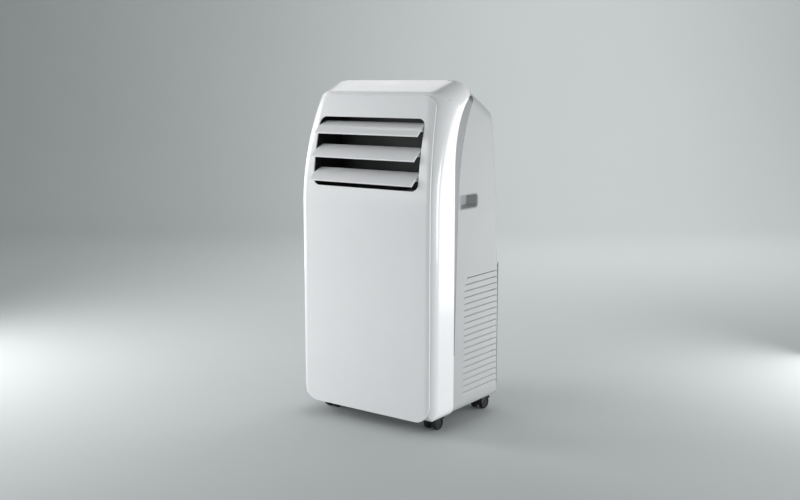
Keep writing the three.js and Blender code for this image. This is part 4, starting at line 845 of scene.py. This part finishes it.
def linear(hex_colour):
    """An sRGB hex colour as linear red, green, blue and alpha."""
    channels = [int(hex_colour[i:i + 2], 16) / 255 for i in (1, 3, 5)]
    return (*[c / 12.92 if c <= 0.04045 else ((c + 0.055) / 1.055) ** 2.4 for c in channels], 1)


def per_mm(size):
    """Texture scale at which one pattern cell is a size in millimetres."""
    return 1 / (size * MM)


def add(tree, kind, settings=None, links=None):
    """Adds a node. A setting or link names one of its sockets; other settings are the node's own options."""
    node = tree.nodes.new(kind)
    for name, value in (settings or {}).items():
        if isinstance(name, int) or name in node.inputs:
            node.inputs[name].default_value = value
        else:
            setattr(node, name, value)
    for name, source in (links or {}).items():
        tree.links.new(source, node.inputs[name])
    return node


def surface(name, settings):
    """A new material with its shader set, its object coordinates and its node tree."""
    material = bpy.data.materials.new(name)
    material.use_nodes = True
    tree = material.node_tree
    tree.nodes.clear()
    shader = add(tree, "ShaderNodeBsdfPrincipled", settings)
    add(tree, "ShaderNodeOutputMaterial", None, {"Surface": shader.outputs[0]})
    places = add(tree, "ShaderNodeTexCoord").outputs["Object"]
    return material, tree, shader, places


def tinted(tree, shader, places, light, dark, patch_mm):
    """Lets the base colour drift between two close shades in patches of a size."""
    patches = add(tree, "ShaderNodeTexNoise", {"Scale": per_mm(patch_mm), "Detail": 3.0}, {"Vector": places})
    colours = {"data_type": "RGBA", 6: linear(light), 7: linear(dark)}
    shades = add(tree, "ShaderNodeMix", colours, {0: patches.outputs[0]})
    tree.links.new(shades.outputs[2], shader.inputs["Base Color"])


def worn(tree, shader, places, low, high, patch_mm):
    """Lets the roughness drift between two values."""
    patches = add(tree, "ShaderNodeTexNoise", {"Scale": per_mm(patch_mm), "Detail": 4.0}, {"Vector": places})
    spread = add(tree, "ShaderNodeMapRange", {"To Min": low, "To Max": high}, {"Value": patches.outputs[0]})
    tree.links.new(spread.outputs[0], shader.inputs["Roughness"])


def relief(tree, shader, height, depth_mm, strength=1.0):
    bump = add(tree, "ShaderNodeBump", {"Distance": depth_mm * MM, "Strength": strength}, {"Height": height})
    tree.links.new(bump.outputs[0], shader.inputs["Normal"])
    return bump


def gloss_abs():
    """High-gloss ABS from a polished mould: clear reflections with the faintest waviness."""
    material, tree, shader, places = surface("gloss_abs_polished_mould", {"IOR": 1.54})
    tinted(tree, shader, places, "#f1f2f3", "#eceeef", 60)
    worn(tree, shader, places, 0.13, 0.19, 25)
    waves = add(tree, "ShaderNodeTexNoise", {"Scale": per_mm(14), "Detail": 1.0}, {"Vector": places})
    relief(tree, shader, waves.outputs[0], 0.012)
    return material


def grained_abs(name, light, dark, low, high):
    """ABS from a spark-eroded mould: soft sheen, with its 0.3 mm pebble drawn at 0.7 mm to show."""
    material, tree, shader, places = surface(name, {"IOR": 1.54})
    tinted(tree, shader, places, light, dark, 45)
    worn(tree, shader, places, low, high, 18)
    pebble = add(tree, "ShaderNodeTexNoise", {"Scale": per_mm(0.7), "Detail": 2.0}, {"Vector": places})
    relief(tree, shader, pebble.outputs[0], 0.03, 0.6)
    return material


def silver_lacquer():
    """Silver lacquer sprayed on ABS: satin, with a faint sparkle of 0.4 mm flakes."""
    material, tree, shader, places = surface("silver_lacquer_sprayed", {"IOR": 1.5, "Metallic": 0.6})
    flakes = add(tree, "ShaderNodeTexVoronoi", {"Scale": per_mm(0.4)}, {"Vector": places})
    colours = {"data_type": "RGBA", 6: linear("#6b6e6f"), 7: linear("#797c7d")}
    shades = add(tree, "ShaderNodeMix", colours, {0: flakes.outputs["Color"]})
    tree.links.new(shades.outputs[2], shader.inputs["Base Color"])
    worn(tree, shader, places, 0.34, 0.42, 12)
    return material


def black_polystyrene():
    """Black impact polystyrene from an unpolished mould: dull, with a slight drag pattern from flow."""
    material, tree, shader, places = surface("black_polystyrene_moulded", {"IOR": 1.59})
    tinted(tree, shader, places, "#101113", "#17181b", 30)
    worn(tree, shader, places, 0.5, 0.62, 10)
    drag = add(tree, "ShaderNodeTexNoise", {"Scale": per_mm(1.1), "Detail": 2.0}, {"Vector": places})
    relief(tree, shader, drag.outputs[0], 0.04, 0.5)
    return material


def black_nylon():
    """Black nylon, as castors are moulded: satin, with scuffs that lighten it in small patches."""
    material, tree, shader, places = surface("black_nylon_moulded", {"IOR": 1.53})
    tinted(tree, shader, places, "#121214", "#1d1d1f", 7)
    worn(tree, shader, places, 0.36, 0.55, 3)
    return material


def black_epdm():
    """Moulded EPDM rubber: dull black with a dry bloom."""
    material, tree, shader, places = surface("black_epdm_rubber", {"IOR": 1.52})
    tinted(tree, shader, places, "#1a1a1b", "#232324", 5)
    worn(tree, shader, places, 0.72, 0.86, 2)
    return material


def nylon_filter_net():
    """Woven nylon net. Its 0.5 mm mesh is drawn at 1.6 mm so that the weave shows through the grille."""
    sheen = {"IOR": 1.53, "Roughness": 0.6, "Sheen Weight": 0.2}
    material, tree, shader, places = surface("nylon_filter_net_woven", sheen)
    threads = []
    for direction in ("X", "Z"):
        weave = {"bands_direction": direction, "Scale": per_mm(1.6) / 20}
        threads.append(add(tree, "ShaderNodeTexWave", weave, {"Vector": places}))
    both = {0: threads[0].outputs[1], 1: threads[1].outputs[1]}
    crossed = add(tree, "ShaderNodeMath", {"operation": "MAXIMUM"}, both)
    colours = {"data_type": "RGBA", 6: linear("#23272b"), 7: linear("#4e555c")}
    shades = add(tree, "ShaderNodeMix", colours, {0: crossed.outputs[0]})
    tree.links.new(shades.outputs[2], shader.inputs["Base Color"])
    relief(tree, shader, crossed.outputs[0], 0.2)
    return material


def galvanised_steel():
    """Hot-dip galvanised sheet: matt grey zinc with crystal spangles about 9 mm across."""
    material, tree, shader, places = surface("galvanised_sheet_steel", {"Metallic": 0.9})
    spangle = add(tree, "ShaderNodeTexVoronoi", {"Scale": per_mm(9)}, {"Vector": places})
    colours = {"data_type": "RGBA", 6: linear("#9a9fa1"), 7: linear("#b9bdbf")}
    shades = add(tree, "ShaderNodeMix", colours, {0: spangle.outputs["Color"]})
    tree.links.new(shades.outputs[2], shader.inputs["Base Color"])
    limits = {"To Min": 0.34, "To Max": 0.5}
    spread = add(tree, "ShaderNodeMapRange", limits, {"Value": spangle.outputs["Color"]})
    tree.links.new(spread.outputs[0], shader.inputs["Roughness"])
    return material


def aluminium_fins():
    """A block of pressed aluminium fins, 1.8 mm apart, with painted shade in the gaps between the sheets."""
    material, tree, shader, places = surface("aluminium_fin_block", {"Metallic": 0.85, "Roughness": 0.38})
    fins = {"bands_direction": "X", "Scale": per_mm(1.8) / 20}
    waves = add(tree, "ShaderNodeTexWave", fins, {"Vector": places})
    # The dark colour is painted shade in the gaps between the fins; the light colour is the aluminium of the fin
    # edges.
    colours = {"data_type": "RGBA", 6: linear("#3c3f42"), 7: linear("#cfd2d4")}
    shades = add(tree, "ShaderNodeMix", colours, {0: waves.outputs[1]})
    tree.links.new(shades.outputs[2], shader.inputs["Base Color"])
    relief(tree, shader, waves.outputs[1], 0.6)
    return material


def drawn_copper():
    """Drawn copper tube: warm metal that has dulled in brown patches."""
    material, tree, shader, places = surface("copper_tube_drawn", {"Metallic": 1.0})
    tinted(tree, shader, places, "#c9754a", "#8a4a2c", 16)
    worn(tree, shader, places, 0.22, 0.4, 9)
    return material


def stoved_enamel():
    """Black stoving enamel over pressed steel: semi-gloss with orange peel about 3 mm across."""
    material, tree, shader, places = surface("black_stoved_enamel", {"IOR": 1.5})
    tinted(tree, shader, places, "#17181a", "#202124", 22)
    worn(tree, shader, places, 0.24, 0.34, 12)
    peel = add(tree, "ShaderNodeTexNoise", {"Scale": per_mm(3), "Detail": 1.0}, {"Vector": places})
    relief(tree, shader, peel.outputs[0], 0.06)
    return material


def zinc_plate():
    """Zinc-plated steel: bright grey whose tone and roughness drift in small patches."""
    material, tree, shader, places = surface("zinc_plated_steel", {"Metallic": 1.0})
    tinted(tree, shader, places, "#a9adb0", "#8e9295", 8)
    worn(tree, shader, places, 0.26, 0.4, 4)
    return material


def glass_epoxy():
    """Green solder mask on glass-epoxy board, with copper tracks showing as paler green lines."""
    material, tree, shader, places = surface("glass_epoxy_board", {"IOR": 1.55, "Roughness": 0.3})
    tracks = add(tree, "ShaderNodeTexBrick", {
        "Scale": per_mm(14), "Color1": linear("#175233"), "Color2": linear("#1a5a39"),
        "Mortar": linear("#2f8257"),
        "Mortar Size": 0.03}, {"Vector": places})
    tree.links.new(tracks.outputs[0], shader.inputs["Base Color"])
    return material


def lens_acrylic():
    """White back-printed acrylic over the display, as glossy as the plate round it."""
    gloss = {"IOR": 1.49, "Coat Weight": 0.3, "Coat Roughness": 0.04}
    material, tree, shader, places = surface("acrylic_lens_back_printed", gloss)
    tinted(tree, shader, places, "#eef0f1", "#e9ebed", 30)
    worn(tree, shader, places, 0.07, 0.1, 20)
    return material


FINISHES = {
    "gloss_white": gloss_abs(),
    "key_white": gloss_abs(),
    "satin_white": grained_abs("satin_abs_spark_eroded_mould", "#b4b6b7", "#b0b2b3", 0.5, 0.6),
    "inner_white": grained_abs("plain_abs_moulded", "#cfd1d1", "#c6c8c8", 0.45, 0.58),
    "satin_grey": silver_lacquer(),
    "display_lens": lens_acrylic(),
    "duct_black": black_polystyrene(),
    "castor_black": black_nylon(),
    "rubber_black": black_epdm(),
    "filter_mesh": nylon_filter_net(),
    "galvanised_steel": galvanised_steel(),
    "coil_fins": aluminium_fins(),
    "copper_pipe": drawn_copper(),
    "black_enamel": stoved_enamel(),
    "motor_steel": zinc_plate(),
    "circuit_board": glass_epoxy(),
}


# ---------------------------------------------------------------- putting it together

NODE_SLOTS = {part["node"]: part["material_slot"] for part in frame["record"]["subparts"]}
BODIES = frame["record"]["behaviour"]["bodies"]
NODE_BODIES = {node: body for body, nodes in BODIES.items() for node in nodes}


def fitted(piece, *nodes, slot=None, body=None):
    """Gives a piece its finish, rides it on its body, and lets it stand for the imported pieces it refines."""
    slot = slot or NODE_SLOTS[nodes[0]]
    piece.data.materials.clear()
    piece.data.materials.append(FINISHES[slot])
    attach(piece, body or NODE_BODIES[nodes[0]])
    if nodes:
        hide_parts(*nodes)
    return piece


def finish_packed_nodes():
    """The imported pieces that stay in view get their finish, a small edge radius and even shading."""
    for node, piece in frame["nodes"].items():
        piece.data.materials.clear()
        piece.data.materials.append(FINISHES[NODE_SLOTS[node]])
        radius_step = piece.modifiers.new("edge radius", "BEVEL")
        radius_step.width = 0.3 * MM
        radius_step.segments = 1
        radius_step.limit_method = "ANGLE"
        radius_step.angle_limit = math.radians(40)
        for face in piece.data.polygons:
            face.use_smooth = True
        shading = piece.modifiers.new("even shading", "WEIGHTED_NORMAL")
        shading.keep_sharp = True


def build_casing():
    fitted(hood(), "front_shell")
    fitted(front_moulding(), "front_panel")
    fitted(control_plate(), "control_panel")
    fitted(display_lens(), "display_window")
    for i, name in enumerate(KEY_NAMES):
        fitted(key(i), name)
    fitted(rear_moulding(), "rear_shell")
    strip = silver_strip()
    recess = handle_recess()
    fitted(mirrored(strip, "silver_strip_left"), "side_trim_left")
    fitted(mirrored(recess, "handle_recess_left"), "handle_cup_left")
    fitted(strip, "side_trim_right")
    fitted(recess, "handle_cup_right")


def build_outlet():
    for joint in frame["joints"]:
        if joint["name"] in ("vane_top_tilt", "vane_middle_tilt", "vane_bottom_tilt"):
            name = joint["child"]
            fitted(vane_at(name, [c / MM for c in joint["pos_m"][1:]]), name)


def build_back():
    fitted(intake_frame(), "intake_grille")
    fitted(back_cover(), "rear_cover")
    fitted(exhaust_ring(), "exhaust_collar")
    fitted(drain_bung("drain_plug_lower"), "drain_plug_lower")
    fitted(drain_bung("drain_plug_upper"), "drain_plug_upper")
    fitted(cord_bush(), "cord_gland")


def build_castors():
    for node in frame["nodes"]:
        if node.startswith("castor_wheel_"):
            fitted(castor_wheel(node), node)
        if node.startswith("castor_hood_"):
            fitted(castor_hood(node), node)


# ---------------------------------------------------------------- studio

CAMERA_AT = (1.2628, -1.7395, 0.6810)
CAMERA_AZIMUTH = math.radians(36.05)
CAMERA_ELEVATION = math.radians(9.1)
CAMERA_LENS = 47.86


def place_camera():
    data = bpy.data.cameras.new("studio_camera")
    data.lens = CAMERA_LENS
    data.sensor_width = 36
    data.clip_end = 50
    camera = bpy.data.objects.new("studio_camera", data)
    camera.location = CAMERA_AT
    camera.rotation_euler = (math.pi / 2 - CAMERA_ELEVATION, 0, CAMERA_AZIMUTH)
    bpy.context.scene.collection.objects.link(camera)
    bpy.context.scene.camera = camera


def softbox(name, at, aim, size, watts, colour="#ffffff"):
    """A rectangular softbox at a place, aimed at a point, all in metres."""
    data = bpy.data.lights.new(name, "AREA")
    data.shape = "RECTANGLE"
    data.size, data.size_y = size
    data.energy = watts
    data.color = linear(colour)[:3]
    light = bpy.data.objects.new(name, data)
    light.location = at
    light.rotation_euler = (Vector(aim) - Vector(at)).to_track_quat("-Z", "Y").to_euler()
    bpy.context.scene.collection.objects.link(light)


def lay_floor():
    """A pale paper sweep: floor, a wide bend and a wall behind."""
    reach, wall_at, radius, height = 7.0, 4.2, 1.6, 4.5
    profile = [(-reach, 0)] + [
        (wall_at - radius + radius * math.sin(a), radius - radius * math.cos(a))
        for a in (math.pi / 2 * i / 24 for i in range(25))
    ] + [(wall_at, height)]
    points, faces = [], []
    facing = Matrix.Rotation(CAMERA_AZIMUTH, 3, "Z")
    for along, up in profile:
        for side in (-reach, reach):
            points.append(tuple((facing @ Vector((side, along, up))) / MM))
    for i in range(len(profile) - 1):
        faces.append((2 * i, 2 * i + 1, 2 * i + 3, 2 * i + 2))
    sweep = piece_from("paper_sweep", points, faces)
    for face in sweep.data.polygons:
        face.use_smooth = True
    matt = {"IOR": 1.45, "Specular IOR Level": 0.2}
    material, tree, shader, places = surface("background_paper_pale_grey", matt)
    tinted(tree, shader, places, "#c3c7c7", "#bec2c3", 900)
    worn(tree, shader, places, 0.8, 0.9, 40)
    sweep.data.materials.append(material)


def light_studio():
    bpy.context.scene.view_settings.view_transform = "Standard"
    world = bpy.data.worlds.new("studio")
    world.use_nodes = True
    world.node_tree.nodes["Background"].inputs[0].default_value = linear("#d9dcde")
    world.node_tree.nodes["Background"].inputs[1].default_value = 0.36
    bpy.context.scene.world = world
    aim = (0, 0, 0.36)
    softbox("left_softbox", (-1.25, -0.62, 0.6), aim, (0.7, 1.1), 15)
    softbox("front_softbox", (-0.8, -1.9, 0.9), aim, (1.2, 1.0), 8)
    softbox("right_front_softbox", (2.1, -1.1, 0.4), aim, (1.0, 0.8), 4)
    softbox("right_softbox", (2.2, 0.2, 0.35), aim, (0.9, 0.7), 18)
    softbox("rear_right_softbox", (0.8, 0.75, 0.36), (0.165, -0.05, 0.3), (0.6, 0.7), 4)
    softbox("upper_left_softbox", (-1.1, 0.85, 1.9), (0, -0.05, 0.68), (1.0, 1.0), 5)
    softbox("backdrop_softbox", (0.03, 2.0, 2.3), (-1.6, 3.2, 0.5), (1.6, 0.8), 60)


place_camera()
light_studio()
lay_floor()
finish_packed_nodes()
build_casing()
build_outlet()
build_back()
build_castors()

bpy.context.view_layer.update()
